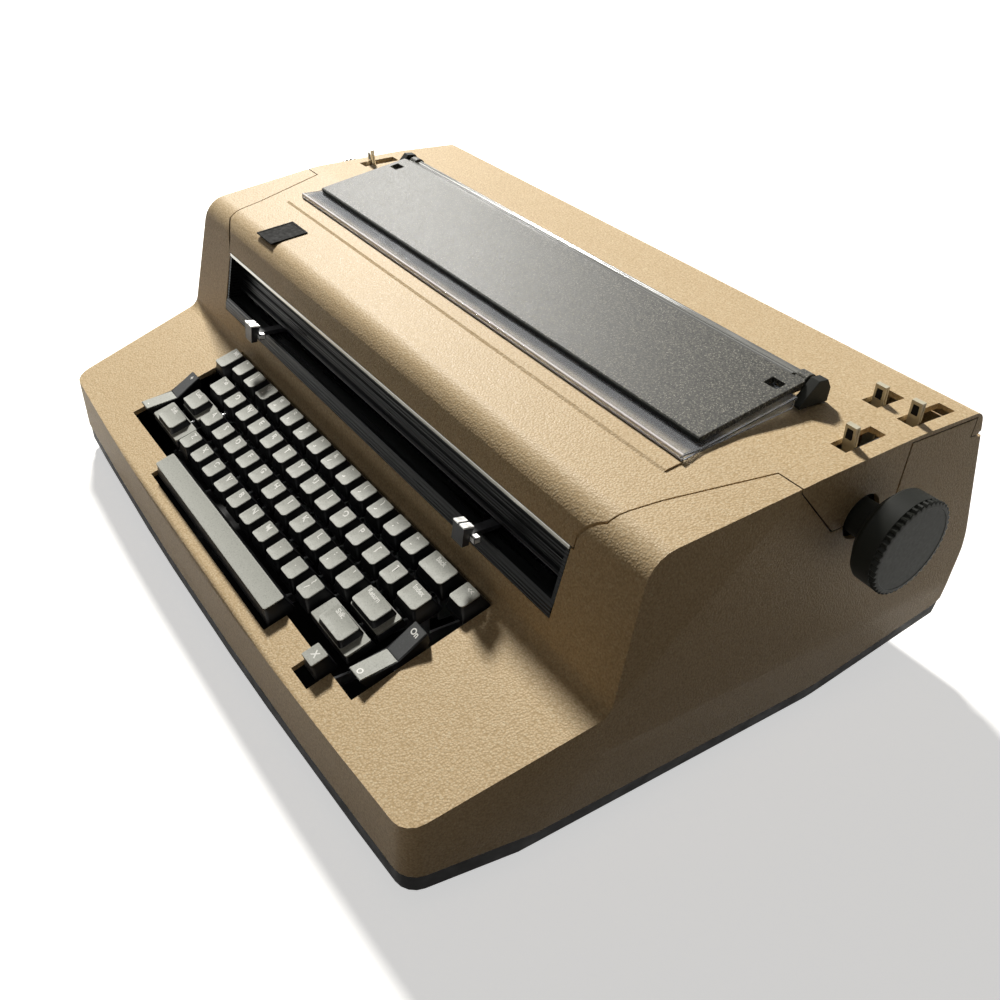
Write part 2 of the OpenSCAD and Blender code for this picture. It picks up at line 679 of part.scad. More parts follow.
module platen() {
  color("#1b1b1d") difference() {
    rod_x(platen_r, -platen_l / 2, platen_l / 2, platen_y, platen_z);
    rod_x(shaft_r, -platen_l / 2 - 1, platen_l / 2 + 1, platen_y, platen_z);
  }
}
module platen_shaft() {
  color("silver") {
    rod_x(shaft_r, -wall_x - 20, wall_x + 20, platen_y, platen_z);
    difference() {
      along_x(-platen_l / 2 - 4, -platen_l / 2, platen_y, platen_z)
        polygon([for (i = [0 : 2 * ratchet_teeth - 1])
          let (r = i % 2 == 0 ? 16 : 14.4, a = i * 180 / ratchet_teeth) [r * cos(a), r * sin(a)]]);
      rod_x(shaft_r - 1, -platen_l / 2 - 5, -platen_l / 2 + 1, platen_y, platen_z);
    }
  }
}
module platen_knobs() {
  l = knob_out;
  color("#26272a") both_sides() {
    translate([wall_x, platen_y, platen_z]) rotate([0, 90, 0]) {
      rotate_extrude() polygon([[shaft_r + 0.02, -4], [9.5, -4], [9.5, 7], [knob_r - 2.2, l - 11],
        [knob_r - 1.6, l - 10.4],
        [knob_r - 1.6, l], [0, l], [0, 20.5], [shaft_r + 0.02, 20.5]]);
      difference() {
        translate([0, 0, l - 9.4]) linear_extrude(8.8) polygon([for (i = [0 : 2 * knob_teeth - 1])
          let (r = i % 2 == 0 ? knob_r : knob_r - 1.7, a = i * 180 / knob_teeth) [r * cos(a), r * sin(a)]]);
        translate([0, 0, l - 10.2]) cylinder(r = knob_r - 2.6, h = 12);
      }
    }
  }
}

module feed_shaft(y) {
  rod_x(3, -frame_x - 1, frame_x + 1, y, feed_z);
  for (x = [-150, -50, 50, 150]) {
    rod_x(feed_r, x - 16, x + 16, y, feed_z);
  }
}
module front_feed_rollers() {
  color("#3b2f2a") feed_shaft(platen_y - feed_dy);
}
module rear_feed_rollers() {
  color("#3b2f2a") feed_shaft(platen_y + feed_dy);
}
module paper_deflector() {
  r0 = platen_r + 2.2;
  color("#a9abad") {
    side_extrude(concat([for (a = [-108 : 4 : -72]) [platen_y + r0 * cos(a), platen_z + r0 * sin(a)]],
      [for (a = [-72 : -4 : -108]) [platen_y + (r0 + 1.2) * cos(a), platen_z + (r0 + 1.2) * sin(a)]]),
      -frame_x + frame_t / 2 + gap, frame_x - frame_t / 2 - gap);
  }
}
module paper_bail() {
  arm_x = frame_x - 16;
  color("silver") {
    rod_x(2.5, -arm_x - 1, arm_x + 1, bail_y, bail_z);
    both_sides() difference() {
      union() {
        side_extrude([[bail_y - 2.5, bail_z - 2.4], [bail_pivot_y, bail_pivot_z - 4.6],
          [bail_pivot_y, bail_pivot_z + 4.6], [bail_y - 2.5, bail_z + 2.4]], arm_x - 1.2, arm_x + 1.2);
        rod_x(4.6, arm_x - 1.2, arm_x + 1.2, bail_pivot_y, bail_pivot_z);
      }
      rod_x(2.5 + run_fit, arm_x - 4, arm_x + 4, bail_pivot_y, bail_pivot_z);
    }
    for (x = [-70, 70]) {
      rod_x(bail_roller_r, x - 9, x + 9, bail_y, bail_z);
    }
  }
}

// A strip lever with a ring at its pivot, folded over above the cover into a windowed finger tip.
module finger_lever(x, py, pz, bore, ring, top_y, tip_z) {
  w = lever_w;
  h = (tip_z - pz) / cos(atan2(py - top_y, cover_z - pz));
  difference() {
    union() {
      rod_x(ring, x - w / 2 - 0.4, x + w / 2 + 0.4, py, pz);
      translate([x, py, pz]) rotate([atan2(py - top_y, cover_z - pz), 0, 0]) difference() {
        union() {
          box(-w / 2, w / 2, -1.5, -0.3, ring - 2, h);
          box(-w / 2, w / 2, -0.9, 1.4, h - 1.2, h);
          box(-w / 2, w / 2, 0.3, 1.4, h - 11, h - 0.6);
        }
        box(-w / 2 + 1.6, w / 2 - 1.6, -4, 4, h - 7, h - 2.2);
      }
    }
    rod_x(bore, x - w, x + w, py, pz);
  }
}
// The two release levers turn on the frame's sleeves round the platen shaft.
module release_lever(x) {
  finger_lever(x, platen_y, platen_z, sleeve_r + run_fit, sleeve_r + 4, platen_y - 5, cover_z + 8);
}
module paper_release_lever() { color("#d8cfb8") release_lever(lever_x); }
module platen_release_lever() { color("silver") release_lever(-lever_x); }
module line_space_lever() {
  color("#d8cfb8") finger_lever(line_x, stud_y, stud_z, stud_r + run_fit, 7, stud_y - 4.3, cover_z + 8.6);
}
module copy_control_lever() {
  color("#d8cfb8") finger_lever(copy_x, stud_y, stud_z, stud_r + run_fit, 7, stud_y - 4.3, cover_z + 10);
}

module margin_rack() {
  color("#b9bbbd") {
    difference() {
      box(-frame_x - 2, frame_x + 2, rack_y - 3, rack_y + 3, rack_z - 4, rack_z + 4);
      for (i = [-52 : 52]) {
        box(i * 3.6 - 0.7, i * 3.6 + 0.7, rack_y + 2, rack_y + 4, rack_z - 5, rack_z + 5);
      }
    }
  }
}
module margin_lever(x) {
  y0 = bezel_y(rack_z);
  color("#303236") {
    difference() {
      box(x - 6, x + 6, rack_y - 5.6, rack_y + 5, rack_z - 6.2, rack_z + 6.2);
      box(x - 7, x + 7, rack_y - 3 - gap, rack_y + 3 + gap, rack_z - 4 - gap, rack_z + 4 + gap);
    }
    box(x - 3, x + 3, y0 - 10, rack_y - 5, rack_z - 1.3, rack_z + 1.3);
    side_extrude([[y0 - 13.5, rack_z - 3.6], [y0 - 9.5, rack_z - 3.6], [y0 - 8.5, rack_z + 1],
      [y0 - 6.5, rack_z + 6.4], [y0 - 12.5, rack_z + 7.4]], x - 5, x + 5);
    box(x + 5, x + 9, y0 - 9, y0 - 5, rack_z - 1, rack_z + 2.4);
    box(x + 2, x + 6, y0 - 8.5, y0 - 5.5, rack_z - 0.8, rack_z + 1.3);
  }
}
module left_margin_lever() { margin_lever(margin_left_x); }
module right_margin_lever() { margin_lever(margin_right_x); }

module carrier_rails() {
  color("silver") {
    rod_x(print_r, -frame_x - 4, frame_x + 4, print_y, print_z);
    box(-frame_x - 3, frame_x + 3, rail_y - 3, rail_y + 3, print_z - 5, print_z + 5);
  }
}
module carrier() {
  w = carrier_w / 2;
  color("#6f7276") {
    difference() {
      union() {
        box(-w, w, print_y - 13, rail_y + 7, print_z - 9, print_z + 12);
        translate([0, ball_y, print_z + 11]) cylinder(r = 12, h = platen_z - type_r - 5 - print_z - 11);
        both_sides() box(w - 10, w - 4, print_y - 12, print_y - 4, print_z + 11, ribbon_z());
      }
      rod_x(print_r + 0.08, -w - 1, w + 1, print_y, print_z);
      box(-w - 1, w + 1, rail_y - 3.1, rail_y + 3.1, print_z - 5.1, print_z + 5.1);
    }
  }
}
function ribbon_z() = platen_z - 15;
module type_element() {
  bottom = -type_r * 0.62;
  color("#cfd1d3") {
    translate([0, ball_y, platen_z]) {
      difference() {
        intersection() {
          sphere(r = type_r);
          translate([0, 0, bottom]) cylinder(r = type_r, h = type_r * 1.5);
        }
        translate([0, 0, bottom - 1]) cylinder(r = type_r - 3.5, h = 12);
      }
      translate([0, 0, -type_r - 4.9]) cylinder(r = 6, h = type_r + 8);
      translate([0, 0, type_r * 0.8]) cylinder(r = 5, h = 4.6);
    }
  }
}
module ribbon_cartridge() {
  z0 = ribbon_z();
  y0 = rack_y + 10;
  y1 = ball_y - 22;
  spool_y = (y0 + y1) / 2;
  color("#2a2b2e") {
    difference() {
      union() {
        box(-48, 48, y0, y1, z0 + 0.02, z0 + 15);
        both_sides() box(37, 48, y1 - 2, ball_y + 15, z0 + 2, z0 + 10);
      }
      both_sides() translate([24, spool_y, z0 + 12]) cylinder(r = 12, h = 9);
    }
    both_sides() {
      translate([24, spool_y, z0 + 10]) cylinder(r = 5, h = 4);
      translate([38, y0 + 16, z0 - 12]) cylinder(r = 9, h = 9);
      translate([38, y0 + 16, z0 - 4]) cylinder(r = 2, h = 5);
    }
  }
}

module motor() {
  x0 = motor_x1 - motor_l;
  color("#55585c") {
    difference() {
      rod_x(motor_r, x0, motor_x1, motor_y, motor_z);
      rod_x(4 + run_fit, x0 + 20, motor_x1 + 4, motor_y, motor_z);
    }
    rod_x(motor_r - 6, x0 - 6, x0 + 1, motor_y, motor_z);
    for (x = [x0 + 10, motor_x1 - 20]) {
      side_extrude([[motor_y - 24, motor_z - 20], [motor_y - 30, pan_top(motor_y - 30)],
        [motor_y + 30, pan_top(motor_y + 30)], [motor_y + 24, motor_z - 20]], x, x + 10);
    }
  }
}
// Height of the inside of the pan's floor where it rises to the rear.
function pan_top(y) = y < pan_rise_y - 1 ? pan_floor
  : pan_floor + (y - pan_rise_y + 1) * (33 - pan_floor) / (rear_y - 19 - pan_rise_y);
module pulley(r, bore, y, z) {
  difference() {
    rod_x(r, belt_x - belt_w / 2, belt_x + belt_w / 2, y, z);
    rod_x(bore, belt_x - belt_w, belt_x + belt_w, y, z);
  }
  for (x = [belt_x - belt_w / 2 - 1.5, belt_x + belt_w / 2]) {
    difference() {
      rod_x(r + 2.6, x, x + 1.5, y, z);
      rod_x(bore, x - 1, x + 3, y, z);
    }
  }
}
module motor_pulley() {
  color("silver") {
    rod_x(4, motor_x1 - motor_l + 22, belt_x + belt_w / 2 + 4, motor_y, motor_z);
    pulley(motor_pulley_r, 3.9, motor_y, motor_z);
  }
}
// Open belt round the two pulleys, with its straight runs tangent to both.
function belt_loop(r1, r2) =
  let (dy = motor_y - op_y, dz = motor_z - op_z, d = norm([dy, dz]), tilt = atan2(dz, dy),
       lean = asin((r1 - r2) / d))
  concat([for (i = [0 : 20]) let (a = tilt + 90 - lean + i * (180 + 2 * lean) / 20)
      [op_y + r1 * cos(a), op_z + r1 * sin(a)]],
    [for (i = [0 : 12]) let (a = tilt - 90 + lean + i * (180 - 2 * lean) / 12)
      [motor_y + r2 * cos(a), motor_z + r2 * sin(a)]]);
module drive_belt() {
  w = belt_w / 2 - gap;
  color("#161617") difference() {
    side_extrude(belt_loop(main_pulley_r + 2.2, motor_pulley_r + 2.2), belt_x - w, belt_x + w);
    side_extrude(belt_loop(main_pulley_r + gap, motor_pulley_r + gap), belt_x - belt_w, belt_x + belt_w);
  }
}
module operational_shaft() {
  color("#9a9da1") {
    rod_x(op_shaft_r, -frame_x - 4, frame_x + 4, op_y, op_z);
    pulley(main_pulley_r, op_shaft_r - 0.1, op_y, op_z);
    for (c = [[-190, 14, 10], [-60, 16, 22], [-30, 12, 6], [60, 15, 12], [120, 18, 4]]) {
      difference() {
        rod_x(c[1], c[0], c[0] + c[2], op_y, op_z);
        rod_x(op_shaft_r - 0.1, c[0] - 1, c[0] + c[2] + 1, op_y, op_z);
      }
    }
  }
}

// Keyboard: caps on posts, each on a flat lever that swings on the fulcrum rod.
module on_keys() {
  translate([0, key_y, key_z]) rotate([deck_slope, 0, 0]) children();
}
// Block with sloping sides, given by its foot, its height and how much it narrows.
module tapered(x, s, w, d, top_h, foot_h2, taper, dish) {
  top_d = d - taper;
  top_w = w - taper;
  on_keys() translate([x, s, 0]) intersection() {
    translate([-w / 2, 0, 0]) rotate([90, 0, 90]) linear_extrude(w)
      polygon([[-d / 2, foot_h2], [d / 2, foot_h2], [top_d / 2, top_h], [0, top_h - dish],
        [-top_d / 2, top_h]]);
    translate([0, d / 2, 0]) rotate([90, 0, 0]) linear_extrude(d)
      polygon([[-w / 2, foot_h2], [w / 2, foot_h2], [top_w / 2, top_h + 1], [-top_w / 2, top_h + 1]]);
  }
}
function cap_y(s, h) = key_y + s * cos(deck_slope) - h * sin(deck_slope);
function cap_z(s, h) = key_z + s * sin(deck_slope) + h * cos(deck_slope);
// Post and lever under a cap, at the lever height given.
module key_lever(x, s, top, h) {
  y = cap_y(s, h);
  difference() {
    union() {
      box(x - 1.2, x + 1.2, y - 2.5, y + 2.5, top - 2, cap_z(s, h) + 1);
      box(x - lever_t / 2, x + lever_t / 2, y - 2.5, fulcrum_y, top - lever_h, top);
      box(x - lever_t / 2, x + lever_t / 2, fulcrum_y - 8, fulcrum_y, top - lever_h, lever_z);
      rod_x(fulcrum_r + 2.4, x - lever_t / 2, x + lever_t / 2, fulcrum_y, fulcrum_z);
    }
    rod_x(fulcrum_r + run_fit, x - 2, x + 2, fulcrum_y, fulcrum_z);
  }
}
module key(x, s, units, lever_x_at) {
  w = units * key_pitch - key_gap;
  tapered(x, s, w, key_pitch - key_gap, 0, -key_h, key_taper, 0.8);
  key_lever(lever_x_at, s, lever_z, -key_h);
}
module key_row(x0, s, first, last) {
  for (i = [first : last]) {
    key(x0 + i * key_pitch, s, 1, x0 + i * key_pitch);
  }
}
module flange(x, s, w) {
  tapered(x, s, w, key_pitch - key_gap, -4.4, -key_h, 2, 0);
}

module number_keys_left() { color("#b9bab6") key_row(key_x0, number_y, 0, 6); }
module number_keys_right() { color("#b9bab6") key_row(key_x0, number_y, 7, number_keys - 1); }
module top_letters_left() { color("#b9bab6") key_row(second_x, second_y, 0, 4); }
module top_letters_right() { color("#b9bab6") key_row(second_x, second_y, 5, second_keys - 1); }
module home_letters_left() { color("#b9bab6") key_row(third_x, third_y, 0, 4); }
module home_letters_right() { color("#b9bab6") key_row(third_x, third_y, 5, third_keys - 1); }
module bottom_letters_left() { color("#b9bab6") key_row(fourth_x, fourth_y, 0, 4); }
module bottom_letters_right() { color("#b9bab6") key_row(fourth_x, fourth_y, 5, fourth_keys - 1); }

module space_bar() {
  color("#c3c2bb") {
    tapered(0, space_s, space_w - 2, space_d + 4, 0.6, -key_h, 5, 0.4);
    for (x = [space_lever_left, space_lever_right]) {
      key_lever(x, space_s, low_lever_z, -key_h);
    }
  }
}
module left_shift_key() {
  x1 = fourth_x - key_pitch / 2;
  w = 2.4 * key_pitch;
  color("#b9bab6") {
    tapered(x1 - w / 2 - 0.9, fourth_y, 27.5, key_pitch - key_gap, 0, -key_h, key_taper, 0.8);
    flange(x1 - w / 2 - key_gap / 2, fourth_y, w - key_gap);
    key_lever(left_shift_lever, fourth_y, lever_z, -key_h);
  }
}
module right_shift_key() {
  x0 = fourth_x + (fourth_keys - 0.5) * key_pitch;
  w = 2.3 * key_pitch;
  color("#b9bab6") {
    tapered(x0 + w / 2 + 1, fourth_y, 28, key_pitch - key_gap, 0, -key_h, key_taper, 0.8);
    flange(x0 + w / 2, fourth_y, w - key_gap);
    key_lever(right_shift_lever, fourth_y, lever_z, -key_h);
  }
}
module lock_key() {
  x1 = third_x - key_pitch / 2;
  w = 1.55 * key_pitch;
  color("#b9bab6") {
    tapered(x1 - w + 11.5, third_y, 22.6, key_pitch - key_gap, 0, -key_h, key_taper, 0.8);
    flange(x1 - w / 2, third_y, w - key_gap);
    key_lever(lock_lever, third_y, lever_z, -key_h);
  }
}
module return_key() {
  x0 = third_x + (third_keys - 0.5) * key_pitch;
  w = 1.75 * key_pitch;
  color("#b9bab6") {
    tapered(x0 + 14.7, third_y, 27.4, key_pitch - key_gap, 0, -key_h, key_taper, 0.8);
    flange(x0 + w / 2, third_y, w - key_gap);
    key_lever(return_lever, third_y, lever_z, -key_h);
  }
}
module tab_key() { color("#b9bab6") key(tab_x, second_y, 1.25, tab_x); }
module index_key() { color("#b9bab6") key(index_x, second_y, 1.25, index_lever); }
module margin_release_key() {
  w = key_pitch - key_gap;
  color("#b9bab6") {
    tapered(margin_release_x, number_y - 2.15, w, w + 4.3, 0, -key_h, key_taper, 0.8);
    key_lever(margin_release_x, number_y, lever_z, -key_h);
  }
}
module backspace_key() { color("#b9bab6") key(backspace_x, number_y, 1.5, backspace_lever); }
module express_key() { color("#b9bab6") key(express_x, number_y, 1, express_x); }
module correct_key() {
  color("#b9bab6") {
    tapered(correct_x, space_s + 1, correct_w - 1, space_d, 1, -key_h, 3, 0.3);
    key_lever(correct_lever, space_s + 1, low_lever_z, -key_h);
  }
}
// Two-faced switch rocker on its own pin, with its crease over the pin.
module rocker(x) {
  w = rocker_w;
  on_keys() translate([x - w / 2, 0, 0]) {
    difference() {
      rotate([90, 0, 90]) linear_extrude(w) polygon([[rocker_s0, -1.3], [rocker_s0 + 1.5, -7.5],
        [rocker_s1 - 9, -15], [rocker_s1 + 9, -15], [rocker_s2 - 0.5, -6], [rocker_s2, 0.2],
        [rocker_s1, -5]]);
      translate([-1, rocker_s1, rocker_h]) rotate([0, 90, 0]) cylinder(r = 1.5 + run_fit, h = w + 2);
    }
  }
}
module power_rocker() { color("#8d8e8c") rocker(power_x); }
module tab_rocker() { color("#8d8e8c") rocker(tab_rocker_x); }

module fulcrum_rod() {
  color("silver") rod_x(fulcrum_r, -frame_x - 4, frame_x + 4, fulcrum_y, fulcrum_z);
}

// Where each key lever passes the comb, for the two lever heights.
high_levers = concat([for (i = [0 : number_keys - 1]) key_x0 + i * key_pitch],
  [for (i = [0 : second_keys - 1]) second_x + i * key_pitch],
  [for (i = [0 : third_keys - 1]) third_x + i * key_pitch],
  [for (i = [0 : fourth_keys - 1]) fourth_x + i * key_pitch],
  [left_shift_lever, right_shift_lever, lock_lever, return_lever, tab_x, index_lever,
   margin_release_x, backspace_lever, express_x]);
low_levers = [space_lever_left, space_lever_right, correct_lever];
module lever_comb() {
  slack = 0.35;
  color("#7d8084") {
    difference() {
      box(-well_half, well_half, comb_y, comb_y + comb_t, low_lever_z - lever_h - 8, lever_z + 5);
      for (x = high_levers) {
        box(x - lever_t / 2 - slack, x + lever_t / 2 + slack, comb_y - 1, comb_y + comb_t + 1,
          lever_z - lever_h - key_travel, lever_z + 6);
      }
      for (x = low_levers) {
        box(x - lever_t / 2 - slack, x + lever_t / 2 + slack, comb_y - 1, comb_y + comb_t + 1,
          low_lever_z - lever_h - key_travel, low_lever_z + 0.4);
      }
    }
    both_sides() {
      box(well_half - 12, well_half, comb_y, comb_y + comb_t, pan_floor, low_lever_z - lever_h - 7);
      box(well_half - 3, well_half, cap_y(rocker_s1, rocker_h) - 8, comb_y + comb_t,
        pan_floor, pan_floor + 12);
    }
    rocker_bracket(power_x, 1);
    rocker_bracket(tab_rocker_x, -1);
  }
}
// Upright plate beside a switch rocker, with the pin that it turns on.
module rocker_bracket(x, side) {
  yp = cap_y(rocker_s1, rocker_h);
  zp = cap_z(rocker_s1, rocker_h);
  x0 = x + side * (rocker_w / 2 + gap);
  x1 = x0 + side * 1.2;
  box(min(x0, x1), max(x0, x1), yp - 5, yp + 5, pan_floor + 8, zp + 3);
  xa = x - side * rocker_w / 2;
  rod_x(1.5, min(xa, x1), max(xa, x1), yp, zp);
}

bottom_pan();
rubber_feet();
lower_case();
top_cover();
cover_trim();
cover_hinge_pins();
margin_bezel();
badge_plate();
platen_cover_plate();
clear_shield();
cover_end_caps();
power_inlet();
machine_frame();
platen();
platen_shaft();
platen_knobs();
front_feed_rollers();
rear_feed_rollers();
paper_deflector();
paper_bail();
paper_release_lever();
line_space_lever();
copy_control_lever();
platen_release_lever();
left_margin_lever();
right_margin_lever();
margin_rack();
carrier_rails();
carrier();
type_element();
ribbon_cartridge();
motor();
motor_pulley();
drive_belt();
operational_shaft();
lever_comb();
fulcrum_rod();
space_bar();
left_shift_key();
right_shift_key();
lock_key();
tab_key();
margin_release_key();
backspace_key();
express_key();
index_key();
return_key();
correct_key();
power_rocker();
tab_rocker();
number_keys_left();
number_keys_right();
top_letters_left();
top_letters_right();
home_letters_left();
home_letters_right();
bottom_letters_left();
bottom_letters_right();
case_screws();
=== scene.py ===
"""Looks of the electric typewriter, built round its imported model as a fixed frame.

Laid out as an add-on: property groups hold the sizes and colours, one operator makes
each piece or group of like pieces, and main() calls them in order. Sizes are in metres
where nothing else is said, in the model's own frame: +X to the typist's right, +Y to
the rear, +Z up.
"""

import math

import bmesh
import bpy
from mathutils import Matrix, Vector


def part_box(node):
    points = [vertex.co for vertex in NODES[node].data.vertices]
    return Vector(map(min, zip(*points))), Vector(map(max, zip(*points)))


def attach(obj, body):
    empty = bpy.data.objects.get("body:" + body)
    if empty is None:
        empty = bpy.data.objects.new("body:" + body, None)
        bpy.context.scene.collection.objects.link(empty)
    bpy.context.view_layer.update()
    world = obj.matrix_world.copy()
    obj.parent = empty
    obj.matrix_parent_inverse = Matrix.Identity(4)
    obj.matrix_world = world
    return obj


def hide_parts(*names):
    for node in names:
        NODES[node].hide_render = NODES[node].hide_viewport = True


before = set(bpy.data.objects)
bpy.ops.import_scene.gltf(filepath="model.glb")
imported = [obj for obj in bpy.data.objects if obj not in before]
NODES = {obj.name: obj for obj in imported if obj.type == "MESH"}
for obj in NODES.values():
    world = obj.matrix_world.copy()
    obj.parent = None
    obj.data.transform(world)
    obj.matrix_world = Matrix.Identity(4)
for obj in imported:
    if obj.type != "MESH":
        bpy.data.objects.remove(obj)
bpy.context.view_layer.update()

bl_info = {
    "name": "Electric typewriter looks",
    "version": (1, 0, 0),
    "blender": (4, 5, 0),
    "location": "3D View > Sidebar > Typewriter",
    "description": "Materials and detailed pieces for the electric typewriter",
    "category": "Object",
}

MM = 0.001

# The platen's axis, from the frame.
PLATEN_LOW, PLATEN_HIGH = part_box("platen")
PLATEN_Y = (PLATEN_LOW.y + PLATEN_HIGH.y) / 2
PLATEN_Z = (PLATEN_LOW.z + PLATEN_HIGH.z) / 2

# Plate over the platen: its slope, thickness and depth, and its rear top edge.
PLATE_SLOPE, PLATE_THICK, PLATE_DEEP = math.radians(10.8), 3 * MM, 68 * MM
PLATE_REAR = Vector((PLATEN_Y + 2.6 * MM - PLATE_THICK * math.sin(PLATE_SLOPE),
                     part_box("platen_cover_plate")[0].z + PLATE_DEEP * math.sin(PLATE_SLOPE)
                     + PLATE_THICK * math.cos(PLATE_SLOPE)))

# Keyboard frame: x across, s up the slope and h square to it, from the number row's key tops.
SLOPE = math.radians(17.8)
PITCH = 19.05 * MM
KEY_ORIGIN = Vector((0, -92.2 * MM, 88.924 * MM))
UP_SLOPE = Vector((0, math.cos(SLOPE), math.sin(SLOPE)))
OFF_SLOPE = Vector((0, -math.sin(SLOPE), math.cos(SLOPE)))
FIRST_X = -6.8 * PITCH
SECOND_X = FIRST_X + 1.5 * PITCH
THIRD_X = FIRST_X + 1.75 * PITCH
FOURTH_X = FIRST_X + 2.25 * PITCH
SECOND_S, THIRD_S, FOURTH_S = -PITCH, -2 * PITCH, -3 * PITCH
SPACE_S = -4.05 * PITCH
KEY_GAP = 2.05 * MM
UNIT = PITCH - KEY_GAP
KEY_H = 9 * MM

# Key levers: the rod that they turn on, the height of their top edges, the half widths of lever and
# post, and the eye that takes the rod.
FULCRUM = Vector((0, 20 * MM, 57 * MM))
HIGH_LEVER, LOW_LEVER = 60 * MM, 48.5 * MM
LEVER_HALF, LEVER_TALL = 0.8 * MM, 6 * MM
POST_HALF, POST_DEEP = 1.2 * MM, 2.5 * MM
EYE_BORE, EYE_R, EYE_REACH = 3.06 * MM, 5.4 * MM, 4.2 * MM

# Printed marks: half their thickness, how much their strokes are widened, as a share of the size, and
# the size and place of whole words.
INK_THICK, INK_BOLD = 0.03 * MM, 0.032
WORD_SIZE, WORD_UP = 4.0 * MM, 3.6 * MM

# The margin release cap reaches further forward than the others of its row.
RELEASE_FORWARD = 4.3 * MM

# How the edge of a key top rounds over: inset from its side and drop below its rim, in mm.
TOP_ROUNDING = ((0.25, 0.75), (0.02, 0.45), (0.0, 0.2), (0.12, 0.04),
                (0.4, 0.0), (1.3, 0.0), (2.6, 0.0), (4.2, 0.0))


# ---------------------------------------------------------------- colours and nodes

FINISHES = {}

# How patterns are drawn out: along a drawn profile, along a brushed strip, and round a roller.
DRAWN, BRUSHED, TURNED = (0.05, 1, 1), (0.01, 1, 1), (1, 0.02, 0.02)


def linear(code):
    """Turns an sRGB hex code into the linear colour that the shaders expect."""
    parts = [int(code[i:i + 2], 16) / 255 for i in (1, 3, 5)]
    return tuple(c / 12.92 if c <= 0.04045 else ((c + 0.055) / 1.055) ** 2.4 for c in parts) + (1.0,)


def add(tree, kind, settings=None, inputs=None):
    """Adds one node: its settings, and for each input a value or a (node, output) link."""
    made = tree.nodes.new(kind)
    for key, value in (settings or {}).items():
        setattr(made, key, value)
    for key, value in (inputs or {}).items():
        if isinstance(value, tuple) and isinstance(value[0], bpy.types.Node):
            tree.links.new(value[0].outputs[value[1]], made.inputs[key])
        else:
            made.inputs[key].default_value = value
    return made


class Finish:
    """A material on one principled shader, with its pattern layers added in turn.

    It goes into FINISHES under its key. The sizes of its patterns are in mm.
    """

    def __init__(self, key, name, colour, roughness, metallic=0.0, specular=0.5, **sockets):
        self.material = bpy.data.materials.new(name)
        self.material.use_nodes = True
        self.tree = self.material.node_tree
        self.tree.nodes.clear()
        self.shader = add(self.tree, "ShaderNodeBsdfPrincipled", None, {
            "Base Color": linear(colour), "Roughness": roughness, "Metallic": metallic,
            "Specular IOR Level": specular, **sockets})
        add(self.tree, "ShaderNodeOutputMaterial", None, {"Surface": (self.shader, "BSDF")})
        self.place = add(self.tree, "ShaderNodeTexCoord")
        self.material.diffuse_color = linear(colour)
        FINISHES[key] = self.material

    def where(self, stretch=(1, 1, 1)):
        """Object coordinates in metres, drawn out along an axis for brushed or ribbed marks."""
        if stretch == (1, 1, 1):
            return (self.place, "Object")
        return (add(self.tree, "ShaderNodeMapping", None, {
            "Vector": (self.place, "Object"), "Scale": stretch}), "Vector")

    def clouds(self, size, detail=2.0, stretch=(1, 1, 1)):
        """Soft noise whose features are about the given size."""
        return (add(self.tree, "ShaderNodeTexNoise", None, {
            "Vector": self.where(stretch), "Scale": 1 / (size * MM), "Detail": detail,
            "Roughness": 0.55}), "Fac")

    def grains(self, size):
        """Round cells of the given size."""
        return (add(self.tree, "ShaderNodeTexVoronoi", None, {
            "Vector": self.where(), "Scale": 1 / (size * MM)}), "Distance")

    def painted_gap_shade(self, reach):
        """1 on open faces, and low inside gaps narrower than the reach: the mask for painted shade in gaps
        and seams.
        """
        return (add(self.tree, "ShaderNodeAmbientOcclusion", {"samples": 8}, {
            "Distance": reach * MM}), "AO")

    def ribs(self, period, axis):
        """Even ribs square to an axis, as wide as the period."""
        place = add(self.tree, "ShaderNodeSeparateXYZ", None, {"Vector": self.where()})
        turns = add(self.tree, "ShaderNodeMath", {"operation": "MULTIPLY"}, {
            0: (place, axis), 1: 2 * math.pi / (period * MM)})
        return (add(self.tree, "ShaderNodeMath", {"operation": "SINE"}, {0: (turns, "Value")}), "Value")

    def spread(self, source, low, high, to_low=0.0, to_high=1.0):
        """Maps a pattern's range onto another, clamped."""
        return (add(self.tree, "ShaderNodeMapRange", None, {
            "Value": source, "From Min": low, "From Max": high,
            "To Min": to_low, "To Max": to_high}), "Result")

    def tint(self, source, low, high, most, colour):
        """Mixes in a second colour: none where a pattern is at low, and most of it at high."""
        amount = self.spread(source, low, high, 0.0, most)
        socket = self.shader.inputs["Base Color"]
        under = tuple(socket.default_value)
        if socket.is_linked:
            link = socket.links[0]
            under = (link.from_node, 2)
        mixed = add(self.tree, "ShaderNodeMix", {"data_type": "RGBA"}, {
            0: amount, 6: under, 7: linear(colour)})
        self.tree.links.new(mixed.outputs[2], socket)

    def uneven(self, source, low, high):
        """Lets the roughness wander between two values by a pattern."""
        spread = self.spread(source, 0.3, 0.7, low, high)
        self.tree.links.new(spread[0].outputs[spread[1]], self.shader.inputs["Roughness"])

    def relief(self, source, height, strength=1.0):
        """Raises the surface by a pattern, by the given height."""
        inputs = {"Height": source, "Distance": height * MM, "Strength": strength}
        socket = self.shader.inputs["Normal"]
        if socket.is_linked:
            inputs["Normal"] = (socket.links[0].from_node, "Normal")
        bump = add(self.tree, "ShaderNodeBump", None, inputs)
        self.tree.links.new(bump.outputs["Normal"], socket)


